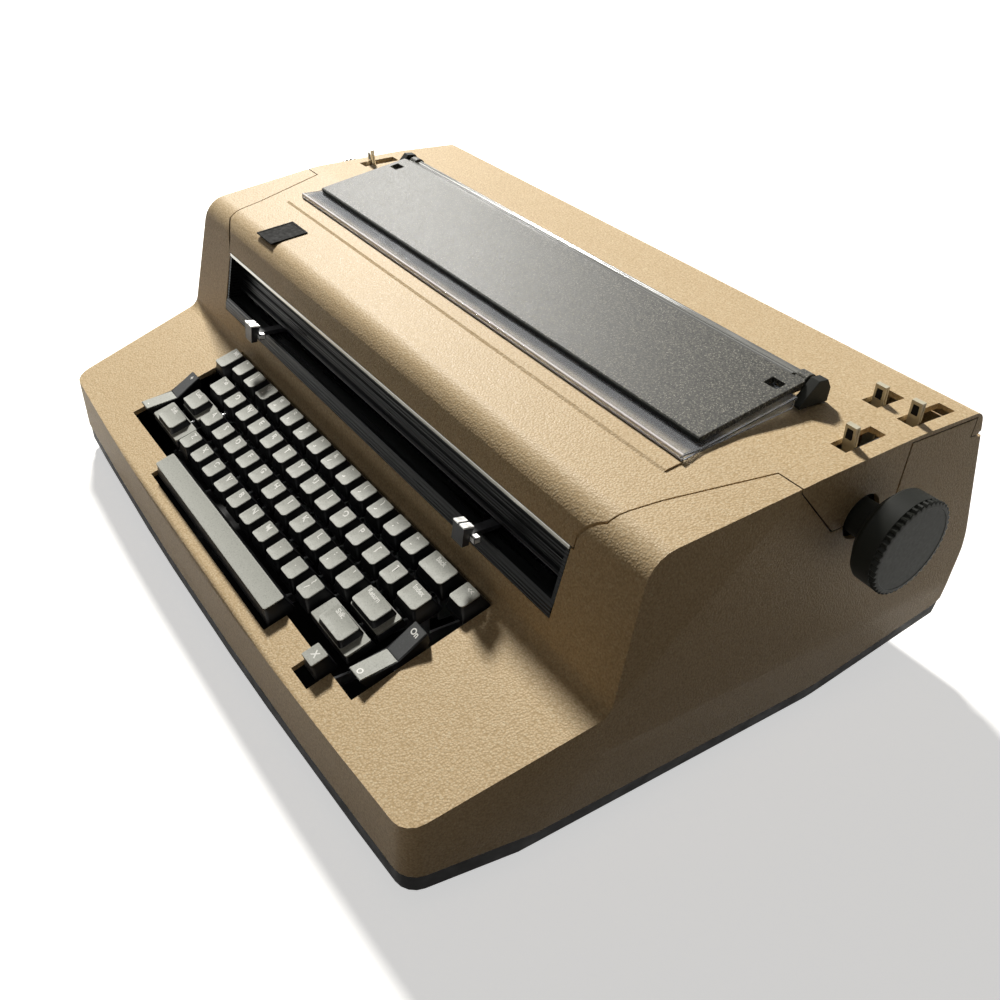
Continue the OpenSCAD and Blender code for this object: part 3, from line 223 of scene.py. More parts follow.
def make_finishes():
    """Every finish of the machine, named for the real material and how it was made."""
    look = bpy.context.scene.typewriter_finish
    grain = look.pebble / MM

    # Moulded foam shell, sprayed with a pebble textured paint: small soft bumps that catch the light one by
    # one, a colour that wanders a little, and painted shade in the low spots between the bumps and in narrow
    # gaps.
    f = Finish("casing", "casing_pebble_paint", look.casing, 0.46, specular=0.11)
    pebble = f.grains(grain)
    f.tint(f.clouds(70), 0.45, 0.75, 0.15, look.casing_mottle_and_shade)
    # Painted shade: the colour darkens towards the low spots between the pebble bumps, where the relief below
    # is lowest.
    f.tint(pebble, 0.30, 0.75, 0.65, look.casing_mottle_and_shade)
    f.tint(f.clouds(grain, 3.0), 0.52, 0.68, 0.7, look.casing_high)
    # Painted shade: the colour turns dark brown inside narrow gaps and seams.
    f.tint(f.painted_gap_shade(1.6), 0.62, 0.25, 1.0, "#2E2013")
    f.uneven(f.clouds(grain, 3.0), 0.36, 0.58)
    f.relief(f.spread(pebble, 0.0, 0.8, 1.0, 0.0), 0.16, 0.8)
    f.relief(f.clouds(grain * 0.7, 3.0), 0.12, 0.7)

    # Pressed steel pan in matt black enamel: a faint orange peel.
    f = Finish("pan", "pan_black_enamel", "#0F0E0D", 0.6, specular=0.12)
    f.tint(f.clouds(18), 0.5, 0.8, 0.3, "#1A1815")
    f.uneven(f.clouds(9), 0.48, 0.66)
    f.relief(f.clouds(2.2), 0.05, 0.5)

    # Moulded rubber: dull, a little grey with dust on its low spots.
    f = Finish("rubber", "moulded_rubber", "#17171A", 0.78)
    f.tint(f.clouds(4, 4.0), 0.5, 0.75, 0.35, "#2C2B2A")
    f.uneven(f.clouds(3), 0.7, 0.9)
    f.relief(f.clouds(0.6), 0.03, 0.5)

    # Ground platen rubber: turned smooth, with fine rings round the roller.
    f = Finish("platen", "ground_platen_rubber", "#1C1C1F", 0.6)
    f.uneven(f.clouds(0.8, 2.0, TURNED), 0.5, 0.72)
    f.tint(f.clouds(7), 0.55, 0.8, 0.35, "#33333A")
    f.relief(f.clouds(0.8, 2.0, TURNED), 0.02, 0.4)

    # Glass-filled plastic, moulded black with a fine spark texture.
    f = Finish("black_plastic", "moulded_black_plastic", "#141416", 0.42)
    f.tint(f.clouds(14, 3.0), 0.5, 0.8, 0.4, "#242427")
    f.uneven(f.clouds(5), 0.34, 0.52)
    f.relief(f.clouds(0.7), 0.03, 0.5)

    # Platen knobs: black phenolic, turned flat at the face, a dry matt surface.
    f = Finish("knob", "matt_black_phenolic", "#1B1C17", 0.5, specular=0.14)
    f.tint(f.clouds(4, 3.0), 0.45, 0.75, 0.3, "#282822")
    f.uneven(f.clouds(2), 0.5, 0.58)
    f.relief(f.clouds(0.8), 0.02, 0.5)

    # Margin channel: black plastic drawn through a die, glossy along its ribs.
    f = Finish("channel", "extruded_black_plastic", "#080909", 0.3, specular=0.16)
    f.tint(f.clouds(9, 3.0, DRAWN), 0.5, 0.8, 0.5, "#131414")
    f.uneven(f.clouds(3, 3.0, DRAWN), 0.22, 0.42)
    f.relief(f.ribs(1.9, "Z"), 0.14, 0.7)

    # Margin levers: zinc castings, satin chromed where fingers push them.
    f = Finish("chrome", "satin_chrome", "#F1F0EC", 0.4, 1.0)
    f.uneven(f.clouds(2, 3.0), 0.34, 0.5)
    f.relief(f.clouds(0.5), 0.01, 0.3)

    # Badge: thin bare aluminium, dyed black.
    f = Finish("badge", "black_anodised_badge", "#171614", 0.75, specular=0.08)
    f.tint(f.clouds(6), 0.5, 0.8, 0.3, "#24221F")
    f.uneven(f.clouds(2), 0.68, 0.85)

    # Polished edges of the clear shield: their near-white colour is a painted highlight.
    f = Finish("clear_edge_painted_highlight", "acrylic_edge_painted_highlight", "#E9E3E0", 0.2, specular=0.6)
    f.tint(f.clouds(30), 0.45, 0.7, 0.35, "#C9BDC4")
    f.uneven(f.clouds(4), 0.12, 0.28)

    # Rear rail of the platen cover: smoke grey glossy plastic with drawn lines along it.
    f = Finish("rail", "smoke_grey_plastic", "#77766F", 0.2, specular=0.5)
    f.tint(f.ribs(3.2, "Y"), 0.0, 0.9, 0.7, "#3F3E3A")
    f.uneven(f.clouds(3, 3.0, DRAWN), 0.14, 0.3)
    f.relief(f.ribs(3.2, "Y"), 0.1, 0.5)

    # Key skirts: black ABS from a polished mould, half glossy.
    f = Finish("key_skirt", "key_skirt_black_abs", look.key_skirt, 0.42, specular=0.22)
    f.tint(f.clouds(7, 3.0), 0.5, 0.8, 0.3, "#161617")
    f.uneven(f.clouds(3), 0.3, 0.46)
    f.relief(f.clouds(1.0), 0.02, 0.4)

    # Key tops: the black ABS of the skirts, coloured light grey as a painted reflection, with pale and dark
    # specks in the pigment.
    f = Finish("key_top_painted_reflection", "speckled_abs_painted_reflection", look.key_top_painted_reflection, 0.55, specular=0.16)
    f.tint(f.clouds(0.9, 4.0), 0.48, 0.32, 0.5, "#8E8F89")
    f.tint(f.clouds(0.7, 4.0), 0.54, 0.7, 0.5, "#D2D3CB")
    f.uneven(f.clouds(2), 0.5, 0.65)
    f.relief(f.clouds(0.6), 0.03, 0.6)

    # Upper face of the switch rockers: the same black plastic, coloured charcoal as a dimmer painted
    # reflection.
    f = Finish("rocker_dim_painted_reflection", "rocker_charcoal_painted_reflection", "#3B3C3B", 0.45)
    f.tint(f.clouds(0.9, 4.0), 0.52, 0.7, 0.5, "#585958")
    f.uneven(f.clouds(2), 0.38, 0.55)

    # Printed marks: opaque white ink, slightly satin.
    f = Finish("ink", "printed_white_ink", "#FBFAF4", 0.6)
    f.tint(f.clouds(1.2, 3.0), 0.55, 0.75, 0.25, "#D8D7CE")

    # Steel plate in a metallic hammer paint: bright flakes in dark grey. The flakes are drawn a little
    # coarser than real ones, so that they show.
    f = Finish("plate_dark", "metallic_flake_paint", look.plate, 0.5, specular=0.2)
    f.tint(f.clouds(1.0, 4.0), 0.5, 0.62, 0.75, "#8A877B")
    f.tint(f.grains(1.3), 0.26, 0.1, 0.95, "#C4C1B3")
    f.tint(f.clouds(1.4, 3.0), 0.47, 0.34, 0.9, "#171613")
    f.uneven(f.clouds(1.0), 0.4, 0.62)
    f.relief(f.clouds(1.0, 3.0), 0.12, 0.9)

    # Cast acrylic: clear with a faint cool tint and faint wiping marks.
    f = Finish("clear", "cast_clear_acrylic", "#DDE1E6", 0.05, **{"Transmission Weight": 0.92, "IOR": 1.49})
    f.uneven(f.clouds(12, 4.0), 0.03, 0.12)

    # Extruded aluminium trim, brushed along its length.
    f = Finish("trim", "brushed_aluminium", "#B9B8B2", 0.34, 1.0)
    f.tint(f.clouds(0.5, 3.0, BRUSHED), 0.5, 0.75, 0.4, "#8F8E89")
    f.uneven(f.clouds(0.4, 3.0, BRUSHED), 0.26, 0.44)
    f.relief(f.clouds(0.3, 2.0, BRUSHED), 0.01, 0.4)

    # Sheet steel, zinc plated: dull grey with cloudy spangles.
    f = Finish("steel", "zinc_plated_steel", "#A9AAAA", 0.42, 1.0)
    f.tint(f.clouds(9, 3.0), 0.45, 0.75, 0.5, "#86888A")
    f.uneven(f.clouds(5, 3.0), 0.34, 0.55)
    f.relief(f.clouds(0.8), 0.01, 0.4)

    # Ground and nickel plated steel: bright with the faintest turning marks.
    f = Finish("bright_steel", "polished_nickel_plate", "#D2D1CC", 0.16, 1.0)
    f.uneven(f.clouds(6, 3.0), 0.12, 0.26)
    f.tint(f.clouds(11), 0.5, 0.8, 0.25, "#B3B1AA")

    # Finger levers: cream urea plastic, worn a little darker where fingers rest.
    f = Finish("cream", "cream_moulded_plastic", "#D8CFB6", 0.34)
    f.tint(f.clouds(5, 3.0), 0.5, 0.8, 0.4, "#B5A786")
    f.uneven(f.clouds(2), 0.32, 0.5)
    f.relief(f.clouds(0.8), 0.02, 0.4)

    # Grey enamel over a sand casting: soft lumps under a satin coat.
    f = Finish("grey_cast", "enamelled_casting", "#55585B", 0.5)
    f.tint(f.clouds(12, 3.0), 0.5, 0.8, 0.4, "#45484B")
    f.uneven(f.clouds(6), 0.42, 0.6)
    f.relief(f.clouds(1.8, 3.0), 0.12, 0.7)

    # Type element: plastic plated with nickel, satin between its characters.
    f = Finish("type_metal", "nickel_plated_type", "#C9CACB", 0.24, 1.0)
    f.uneven(f.clouds(2, 3.0), 0.18, 0.36)
    f.tint(f.grains(2.4), 0.15, 0.5, 0.45, "#7E7F81")
    f.relief(f.grains(2.4), 0.25, 0.6)


# ---------------------------------------------------------------- meshes and pieces

# Dressing of the frame's nodes: points nearer than this are one, faces that bend less are flat, edges
# that bend more are rounded, and how far large faces outweigh small ones.
WELD_REACH, FLAT_BELOW, ROUND_ABOVE, LARGE_FACES = 0.002 * MM, math.radians(0.6), math.radians(40), 80


def shading_by_angle(degrees):
    """Geometry nodes that smooth the faces and keep edges sharper than the angle."""
    name = f"smooth_below_{degrees}"
    tree = bpy.data.node_groups.get(name)
    if tree:
        return tree
    tree = bpy.data.node_groups.new(name, "GeometryNodeTree")
    tree.interface.new_socket("Geometry", in_out="INPUT", socket_type="NodeSocketGeometry")
    tree.interface.new_socket("Geometry", in_out="OUTPUT", socket_type="NodeSocketGeometry")
    start = add(tree, "NodeGroupInput")
    angle = add(tree, "GeometryNodeInputMeshEdgeAngle")
    soft = add(tree, "FunctionNodeCompare", {"data_type": "FLOAT", "operation": "LESS_THAN"}, {
        0: (angle, "Unsigned Angle"), 1: math.radians(degrees)})
    faces = add(tree, "GeometryNodeSetShadeSmooth", {"domain": "FACE"}, {
        "Geometry": (start, "Geometry"), "Shade Smooth": True})
    edges = add(tree, "GeometryNodeSetShadeSmooth", {"domain": "EDGE"}, {
        "Geometry": (faces, "Geometry"), "Shade Smooth": (soft, "Result")})
    add(tree, "NodeGroupOutput", None, {"Geometry": (edges, "Geometry")})
    return tree


def smooth(piece, degrees=35):
    piece.modifiers.new("smooth", "NODES").node_group = shading_by_angle(degrees)


def dress(node, finish, edge=0.0, degrees=35):
    """Gives a node of the frame its finish, rounds its edges (in mm) and smooths its curved faces."""
    piece = NODES[node]
    piece.data.materials.clear()
    piece.data.materials.append(FINISHES[finish])
    if "custom_normal" in piece.data.attributes:
        piece.data.attributes.remove(piece.data.attributes["custom_normal"])
    weld = piece.modifiers.new("weld", "WELD")
    weld.merge_threshold = WELD_REACH
    if edge:
        # Flat faces are joined first, so that only real edges are rounded.
        flat = piece.modifiers.new("flat", "DECIMATE")
        flat.decimate_type = "DISSOLVE"
        flat.angle_limit = FLAT_BELOW
        bevel = piece.modifiers.new("edge", "BEVEL")
        bevel.width = edge * MM
        bevel.segments = 2
        bevel.limit_method = "ANGLE"
        bevel.angle_limit = ROUND_ABOVE
        bevel.use_clamp_overlap = True
        bevel.miter_outer = "MITER_ARC"
    smooth(piece, degrees)
    # Large flat faces keep their own direction, so that shallow bends don't shade them.
    even = piece.modifiers.new("flat_faces", "WEIGHTED_NORMAL")
    even.mode = "FACE_AREA"
    even.weight = LARGE_FACES
    even.keep_sharp = True


def put(name, data):
    """Makes an object of a mesh, curve, lamp or camera and puts it into the scene."""
    made = bpy.data.objects.new(name, data)
    bpy.context.scene.collection.objects.link(made)
    return made


def new_piece(name, bm, finish, body, slot, replaces=(), degrees=35):
    """Makes a bmesh into a piece that rides on a body, with its finish; its record slot is not used."""
    piece = put(name, mesh_of(bm, name))
    piece.data.materials.append(FINISHES[finish])
    smooth(piece, degrees)
    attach(piece, body)
    if replaces:
        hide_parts(*replaces)


def mesh_of(bm, name):
    bmesh.ops.recalc_face_normals(bm, faces=bm.faces)
    mesh = bpy.data.meshes.new(name)
    bm.to_mesh(mesh)
    bm.free()
    return mesh


def on_keys(x, s, h):
    """A point of the keyboard frame in the machine's frame."""
    return KEY_ORIGIN + Vector((x, 0, 0)) + UP_SLOPE * s + OFF_SLOPE * h


def outline(w, d, front_r, rear_r, steps=5):
    """Rounded rectangle about the origin: x across, s up, with its own front and rear corners."""
    points = []
    corners = ((1, 1, rear_r, 0), (-1, 1, rear_r, 90), (-1, -1, front_r, 180), (1, -1, front_r, 270))
    for sx, sy, r, start in corners:
        for i in range(steps + 1):
            a = math.radians(start + 90 * i / steps)
            points.append((sx * (w / 2 - r) + r * math.cos(a), sy * (d / 2 - r) + r * math.sin(a)))
    return points


def loft(bm, rings, closed=True):
    """Joins rings of points into a skin, and closes both of its ends with a face."""
    made = [[bm.verts.new(p) for p in ring] for ring in rings]
    count = len(made[0])
    for low, high in zip(made, made[1:]):
        for i in range(count):
            bm.faces.new((low[i], low[(i + 1) % count], high[(i + 1) % count], high[i]))
    if closed:
        bm.faces.new(made[0][::-1])
        bm.faces.new(made[-1])
    return made


def block(bm, low, high):
    """A box between two corners, for levers and posts that are cut from flat stock."""
    (x0, y0, z0), (x1, y1, z1) = low, high
    around = ((x0, y0), (x1, y0), (x1, y1), (x0, y1))
    loft(bm, [[Vector((x, y, z)) for x, y in around] for z in (z0, z1)])


def ease(bm, radius, segments=2):
    """Rounds every edge of a small part."""
    bmesh.ops.bevel(bm, geom=bm.edges[:], offset=radius, segments=segments, affect="EDGES",
                    clamp_overlap=True)


def tube_x(bm, x0, x1, y, z, inner, outer, steps=24):
    """A ring with a bore, lying along X."""
    turn = [(math.cos(2 * math.pi * i / steps), math.sin(2 * math.pi * i / steps)) for i in range(steps)]
    rings = [[Vector((x, y + r * c, z + r * s)) for c, s in turn]
             for x, r in ((x0, inner), (x0, outer), (x1, outer), (x1, inner))]
    made = loft(bm, rings, closed=False)
    for i in range(steps):
        j = (i + 1) % steps
        bm.faces.new((made[3][i], made[3][j], made[0][j], made[0][i]))


def bar(name, profile, x0, x1, finish, body, slot, rounding=0.0, degrees=35):
    """Makes a piece of a closed profile of (y, z) points along X, with rounded edges."""
    bm = bmesh.new()
    loft(bm, [[Vector((x, y, z)) for y, z in profile] for x in (x0, x1)])
    if rounding:
        ease(bm, rounding)
    new_piece(name, bm, finish, body, slot, (), degrees)


def letter_outline(text, size):
    """The mesh of a short word in the built-in font, flat in its own plane and slightly bold."""
    curve = bpy.data.curves.new("legend", "FONT")
    curve.body = text
    curve.size = size
    curve.align_x = "CENTER"
    curve.align_y = "CENTER"
    curve.resolution_u = 3
    curve.extrude = INK_THICK
    curve.offset = size * INK_BOLD
    holder = put("legend", curve)
    bpy.context.view_layer.update()
    mesh = bpy.data.meshes.new_from_object(holder.evaluated_get(bpy.context.evaluated_depsgraph_get()))
    bpy.data.objects.remove(holder)
    bpy.data.curves.remove(curve)
    return mesh


def print_word(bm, text, size, place):
    """Adds a word to the marks. place() sets each point of the flat word on its face."""
    mesh = letter_outline(text, size)
    start = len(bm.verts)
    bm.from_mesh(mesh)
    bm.verts.ensure_lookup_table()
    for vert in bm.verts[start:]:
        vert.co = place(*vert.co)
    bpy.data.meshes.remove(mesh)


# ---------------------------------------------------------------- keys

def dish(s, depth, half):
    """How far a key top is hollowed at a place up the slope: a shallow cylinder along X."""
    t = max(-1.0, min(1.0, s / half))
    return -depth * (1 - t * t)


class KeySet:
    """Skirts, tops, printed marks and levers of the keys on one body."""

    def __init__(self):
        self.skirts = bmesh.new()
        self.tops = bmesh.new()
        self.marks = bmesh.new()
        self.levers = bmesh.new()

    def cap(self, x, s, w, d, rise=0.0, narrow=4.7 * MM, front_r=2.3 * MM, rear_r=1.1 * MM, hollow=0.85 * MM):
        """A keycap: black skirt with a hollowed top let into it, whose light grey is a painted reflection on
        the black plastic.
        """
        top_w, top_d = w - narrow, d - narrow
        rim = rise - 0.9 * MM

        def ring(wide, deep, h, fr, rr, bend=0.0):
            return [on_keys(x + px, s + ps, h + bend * dish(ps, hollow, top_d / 2))
                    for px, ps in outline(wide, deep, fr, rr)]

        # From the foot up: width, depth, height, front and rear corners, share of the hollow.
        skirt = [ring(w, d, -KEY_H, 1.0 * MM, 1.0 * MM),
                 ring(w, d, -KEY_H + 0.8 * MM, 1.1 * MM, 1.0 * MM),
                 ring(w - narrow * 0.52, d - narrow * 0.52, -KEY_H * 0.52, 1.6 * MM, 1.1 * MM),
                 ring(w - narrow * 0.88, d - narrow * 0.88, rim - 1.2 * MM, 2.1 * MM, 1.1 * MM, 0.7),
                 ring(top_w + 0.1 * MM, top_d + 0.1 * MM, rim + 0.3 * MM, front_r, rear_r, 1.0),
                 ring(top_w - 0.6 * MM, top_d - 0.6 * MM, rim, front_r - 0.3 * MM, rear_r - 0.3 * MM, 1.0)]
        loft(self.skirts, skirt)

        rings = []
        for inset, drop in TOP_ROUNDING:
            gap = inset * MM
            if gap * 2 >= min(top_w, top_d) - 1.0 * MM:
                break
            fr, rr = max(front_r - gap, 0.4 * MM), max(rear_r - gap, 0.3 * MM)
            rings.append(ring(top_w - 2 * gap, top_d - 2 * gap, rise - drop * MM, fr, rr, 1.0))
        loft(self.tops, rings)
        self.hollow, self.half, self.rise = hollow, top_d / 2, rise

    def flange(self, x, s, w, d, top=-4.4 * MM):
        """The low step beside a wide key's cap: a black edge, and a top coloured light grey as a painted
        reflection.
        """
        def ring(wide, deep, h, r):
            return [on_keys(x + px, s + ps, h) for px, ps in outline(wide, deep, r, r)]
        loft(self.skirts, [ring(w, d, -KEY_H, 1.0 * MM),
                           ring(w - 1.2 * MM, d - 1.2 * MM, top - 1.6 * MM, 1.2 * MM),
                           ring(w - 1.8 * MM, d - 1.8 * MM, top - 0.9 * MM, 1.2 * MM)])
        loft(self.tops, [ring(w - 1.9 * MM, d - 1.9 * MM, top - 1.0 * MM, 1.2 * MM),
                         ring(w - 1.9 * MM, d - 1.9 * MM, top - 0.25 * MM, 1.2 * MM),
                         ring(w - 2.3 * MM, d - 2.3 * MM, top, 1.1 * MM)])

    def mark(self, text, x, s, size, key_x, key_s):
        """A printed mark that follows the hollow of its key top."""
        def place(across, up, out):
            px, ps = x + across, s + up
            h = self.rise + dish(ps, self.hollow, self.half) + 0.02 * MM + out
            return on_keys(key_x + px, key_s + ps, h)
        print_word(self.marks, text, size, place)

    def lever(self, x, s, top):
        """The post under a cap, its flat lever back to the rod and the eye round the rod."""
        foot = on_keys(x, s, -KEY_H)
        front, rear, low = foot.y - POST_DEEP, FULCRUM.y - EYE_REACH, top - LEVER_TALL
        block(self.levers, (x - POST_HALF, front, top - 2 * MM),
              (x + POST_HALF, foot.y + POST_DEEP, foot.z + 1 * MM))
        block(self.levers, (x - LEVER_HALF, front, low), (x + LEVER_HALF, rear, top))
        block(self.levers, (x - LEVER_HALF, FULCRUM.y - 8 * MM, low), (x + LEVER_HALF, rear, HIGH_LEVER))
        tube_x(self.levers, x - LEVER_HALF, x + LEVER_HALF, FULCRUM.y, FULCRUM.z, EYE_BORE, EYE_R)

    def finish(self, node):
        """Makes the pieces of this set, which stand for the node of the frame."""
        parts = (("skirts", self.skirts, "key_skirt", "key_black", (node,), 40),
                 # The tops carry the painted reflection; their plastic is the skirts' black.
                 ("tops", self.tops, "key_top_painted_reflection", "key_grey", (), 40),
                 ("marks", self.marks, "ink", "cream", (), 30),
                 ("levers", self.levers, "steel", "steel", (), 30))
        for part, bm, finish, slot, replaces, degrees in parts:
            if len(bm.verts):
                name = f"{node}_{part}"
                new_piece(name, bm, finish, node, slot, replaces, degrees)


ROWS = (
    ("number_keys_left", FIRST_X, 0.0, 0, ("'\"", "1!", "2@", "3#", "4$", "5%", "6^")),
    ("number_keys_right", FIRST_X, 0.0, 7, ("7&", "8*", "9(", "0)", "-_", "=+")),
    ("top_letters_left", SECOND_X, SECOND_S, 0, "QWERT"),
    ("top_letters_right", SECOND_X, SECOND_S, 5, ("Y", "U", "I", "O", "P", "[", "]")),
    ("home_letters_left", THIRD_X, THIRD_S, 0, "ASDFG"),
    ("home_letters_right", THIRD_X, THIRD_S, 5, ("H", "J", "K", "L", ";:", "'")),
    ("bottom_letters_left", FOURTH_X, FOURTH_S, 0, "ZXCVB"),
    ("bottom_letters_right", FOURTH_X, FOURTH_S, 5, ("N", "M", ",", ".", "/?")),
)


def letter_rows():
    size = bpy.context.scene.typewriter_keys.mark_size
    for node, x0, s, first, marks in ROWS:
        keys = KeySet()
        for i, mark in enumerate(marks):
            x = x0 + (first + i) * PITCH
            keys.cap(x, s, UNIT, UNIT)
            keys.lever(x, s, HIGH_LEVER)
            if len(mark) == 2:
                keys.mark(mark[1], -2.2 * MM, 3.3 * MM, size * 0.8, x, s)
                keys.mark(mark[0], -2.2 * MM, -1.1 * MM, size * 0.8, x, s)
            else:
                keys.mark(mark, -1.7 * MM, 2.5 * MM, size, x, s)
        keys.finish(node)


def wide_keys():
    shift_left, shift_right = FOURTH_X - PITCH / 2, FOURTH_X + 9.5 * PITCH
    lock_right, return_left = THIRD_X - PITCH / 2, THIRD_X + 10.5 * PITCH
    tab_x, index_x = SECOND_X - 1.125 * PITCH, SECOND_X + 12.125 * PITCH
    release_x, back_x, express_x = FIRST_X - PITCH, FIRST_X + 13.25 * PITCH, FIRST_X + 14.6 * PITCH
    # node, cap x, s, cap width, lever x, flange (x, width) or None, mark, mark x from the cap
    table = (
        ("left_shift_key", shift_left - 1.2 * PITCH - 0.9 * MM, FOURTH_S, 27.5 * MM, FOURTH_X - 2.1 * PITCH,
         (shift_left - 1.2 * PITCH - KEY_GAP / 2, 2.4 * PITCH - KEY_GAP), "Shift", -4.5 * MM),
        ("right_shift_key", shift_right + 1.15 * PITCH + 1 * MM, FOURTH_S, 28 * MM, FOURTH_X + 10.46 * PITCH,
         (shift_right + 1.15 * PITCH, 2.3 * PITCH - KEY_GAP), "Shift", -4.5 * MM),
        ("lock_key", lock_right - 1.55 * PITCH + 11.5 * MM, THIRD_S, 22.6 * MM, THIRD_X - 0.92 * PITCH,
         (lock_right - 0.775 * PITCH, 1.55 * PITCH - KEY_GAP), "Lock", -2.6 * MM),
        ("return_key", return_left + 14.7 * MM, THIRD_S, 27.4 * MM, THIRD_X + 11.39 * PITCH,
         (return_left + 0.875 * PITCH, 1.75 * PITCH - KEY_GAP), "Return", -3.6 * MM),
        ("tab_key", tab_x, SECOND_S, 1.25 * PITCH - KEY_GAP, tab_x, None, "Tab", -2.0 * MM),
        ("index_key", index_x, SECOND_S, 1.25 * PITCH - KEY_GAP, index_x + 0.315 * PITCH, None,
         "Index", -1.0 * MM),
        ("margin_release_key", release_x, 0.0, UNIT, release_x, None, "MR", 0.0),
        ("backspace_key", back_x, 0.0, 1.5 * PITCH - KEY_GAP, back_x + 0.05 * PITCH, None, "Back", -2.0 * MM),
        ("express_key", express_x, 0.0, UNIT, express_x, None, "<<", 0.0),
    )
    for node, x, s, width, lever_x, step, mark, mark_x in table:
        keys = KeySet()
        if step:
            keys.flange(step[0], s, step[1], UNIT)
        forward = RELEASE_FORWARD if node == "margin_release_key" else 0.0
        keys.cap(x, s - forward / 2, width, UNIT + forward)
        keys.lever(lever_x, s, HIGH_LEVER)
        keys.mark(mark, mark_x, WORD_UP + forward / 2, WORD_SIZE, x, s - forward / 2)
        keys.finish(node)


def front_keys():
    keys = KeySet()
    keys.cap(0, SPACE_S, 168 * MM, 17 * MM, rise=0.6 * MM, narrow=4.6 * MM, front_r=1.6 * MM,
             rear_r=1.2 * MM, hollow=0.3 * MM)
    for step in (3.625, 9.875):
        keys.lever(FIRST_X + step * PITCH, SPACE_S, LOW_LEVER)
    keys.finish("space_bar")
    keys = KeySet()
    x, s = 128 * MM, SPACE_S + 1 * MM
    keys.cap(x, s, 14 * MM, 13 * MM, rise=1 * MM, narrow=3.0 * MM, front_r=0.9 * MM,
             rear_r=0.9 * MM, hollow=0.3 * MM)
    keys.lever(FIRST_X + 13.655 * PITCH, s, LOW_LEVER)
    keys.mark("X", 0, 0.2 * MM, 5.2 * MM, x, s)
    keys.finish("correct_key")


# ---------------------------------------------------------------- rockers

# Rockers in the keyboard frame: their ends and their dent up the slope, their half width and the
# thickness of their faces.
ROCKER_LOW, ROCKER_MID, ROCKER_HIGH = -67 * MM, -46 * MM, -27 * MM
ROCKER_HALF, FACE_THICK = 6 * MM, 0.8 * MM
ROCKER_SIDE = (
    (ROCKER_LOW, -1.7 * MM), (ROCKER_LOW + 1.5 * MM, -7.5 * MM), (ROCKER_MID - 9 * MM, -15 * MM),
    (ROCKER_MID + 9 * MM, -15 * MM), (ROCKER_HIGH - 0.5 * MM, -6 * MM), (ROCKER_HIGH, -0.2 * MM),
    (ROCKER_MID, -5.4 * MM))
# The faces' light grey and charcoal are painted reflections on black plastic.
ROCKER_FACES = (
    ("lower", "key_top_painted_reflection", (ROCKER_LOW + 0.4 * MM, -1.3 * MM), (ROCKER_MID - 0.15 * MM, -5.0 * MM)),
    ("upper", "rocker_dim_painted_reflection", (ROCKER_MID + 0.15 * MM, -5.0 * MM), (ROCKER_HIGH - 0.4 * MM, 0.2 * MM)))


def rocker(node, x, marks):
    """A switch rocker: black body with faces of the same black plastic, painted light grey on the lower face
    and charcoal on the upper face as reflections.
    """
    def strip(bm, profile, half):
        loft(bm, [[on_keys(x + side, s, h) for s, h in profile] for side in (-half, half)])

    body = bmesh.new()
    strip(body, ROCKER_SIDE, ROCKER_HALF)
    ease(body, 0.35 * MM)
    new_piece(node + "_body", body, "key_skirt", node, "key_black", (node,), 40)
    for part, finish, (s0, h0), (s1, h1) in ROCKER_FACES:
        bm = bmesh.new()
        strip(bm, [(s0, h0 - FACE_THICK), (s1, h1 - FACE_THICK), (s1, h1), (s0, h0)], ROCKER_HALF - 0.5 * MM)
        ease(bm, 0.3 * MM)
        new_piece(f"{node}_{part}_face", bm, finish, node, "key_grey", (), 40)
    ink = bmesh.new()
    for text, t, part in marks:
        (s0, h0), (s1, h1) = ROCKER_FACES[part][2:]

        def place(across, up, out):
            s = s0 + (s1 - s0) * t + up
            h = h0 + (h1 - h0) * (s - s0) / (s1 - s0) + 0.03 * MM + out
            return on_keys(x + across, s, h)
        print_word(ink, text, 4.6 * MM, place)
    new_piece(node + "_marks", ink, "ink", node, "cream", (), 30)


# ---------------------------------------------------------------- platen knobs and cover trims

# Turned profile of a knob, in mm from the casing's wall. The bore and the hub have plain radii; the
# head says how far it lies inside the full radius and how deep the teeth are cut.
KNOB_REACH, KNOB_TEETH, KNOB_STEPS = 30 * MM, 44, 4
KNOB_HUB = ((20.5, 5.02), (-4.0, 5.02), (-4.0, 9.5), (7.0, 9.5))
KNOB_HEAD = ((11.5, 6.0, 0.0), (14.2, 2.4, 0.0), (15.0, 1.2, 0.0), (16.2, 0.5, 0.0), (26.4, 0.3, 0.0),
             (26.7, 0.3, 1.2), (29.3, 0.0, 1.6), (29.8, 0.4, 1.3), (30.0, 2.2, 0.0), (30.0, 3.0, 0.0),
             (29.8, 3.3, 0.0))
KNOB_CENTRE = (29.8, 4.0)
SAW_TOOTH = (0.0, 0.25, 0.95, 0.7)

# Margin levers, in mm: the middle of the caps from the lever's right side, their slanted profile and
# their ends, and the low and high corner of the peg beside them.
CAP_MIDDLE = 9
CAP_SLANT = ((0.9, -0.5), (7.1, -1.5), (7.0, -0.5), (1.0, 0.5))
CAP_ENDS = ((-5.05, -0.6), (0.6, 5.05))
PEG_CORNERS = ((4.9, 4.4, -8.5), (9.1, 8.6, -4.9))

# Rear rail of the plate, in mm: how far it ends inside the plate, and its profile.
RAIL_INSET = 9.6
RAIL_PROFILE = ((-0.1, -2.1), (8.2, -2.1), (8.2, -0.9), (7.7, -0.2), (7.0, -0.2), (6.5, -0.8),
                (3.0, -0.9), (2.4, -0.2), (1.2, -0.1), (-0.1, -0.4))

# Strips of painted highlight on the shield's polished edges: how far they stand proud of its wall, how deep
# and how high they are.
EDGE_PROUD, EDGE_DEEP, FOOT_HIGH, TOP_HIGH = 0.1 * MM, 1.5 * MM, 0.9 * MM, 0.8 * MM

# Dark block in a finger lever's window, as painted shade, in mm: off the sides, and its front and rear from
# the tip's middle with their heights from the tip's top.
WINDOW_SIDE, WINDOW_FRONT, WINDOW_REAR = 1.9, (-1.3, -7.2), (0.5, -2.1)


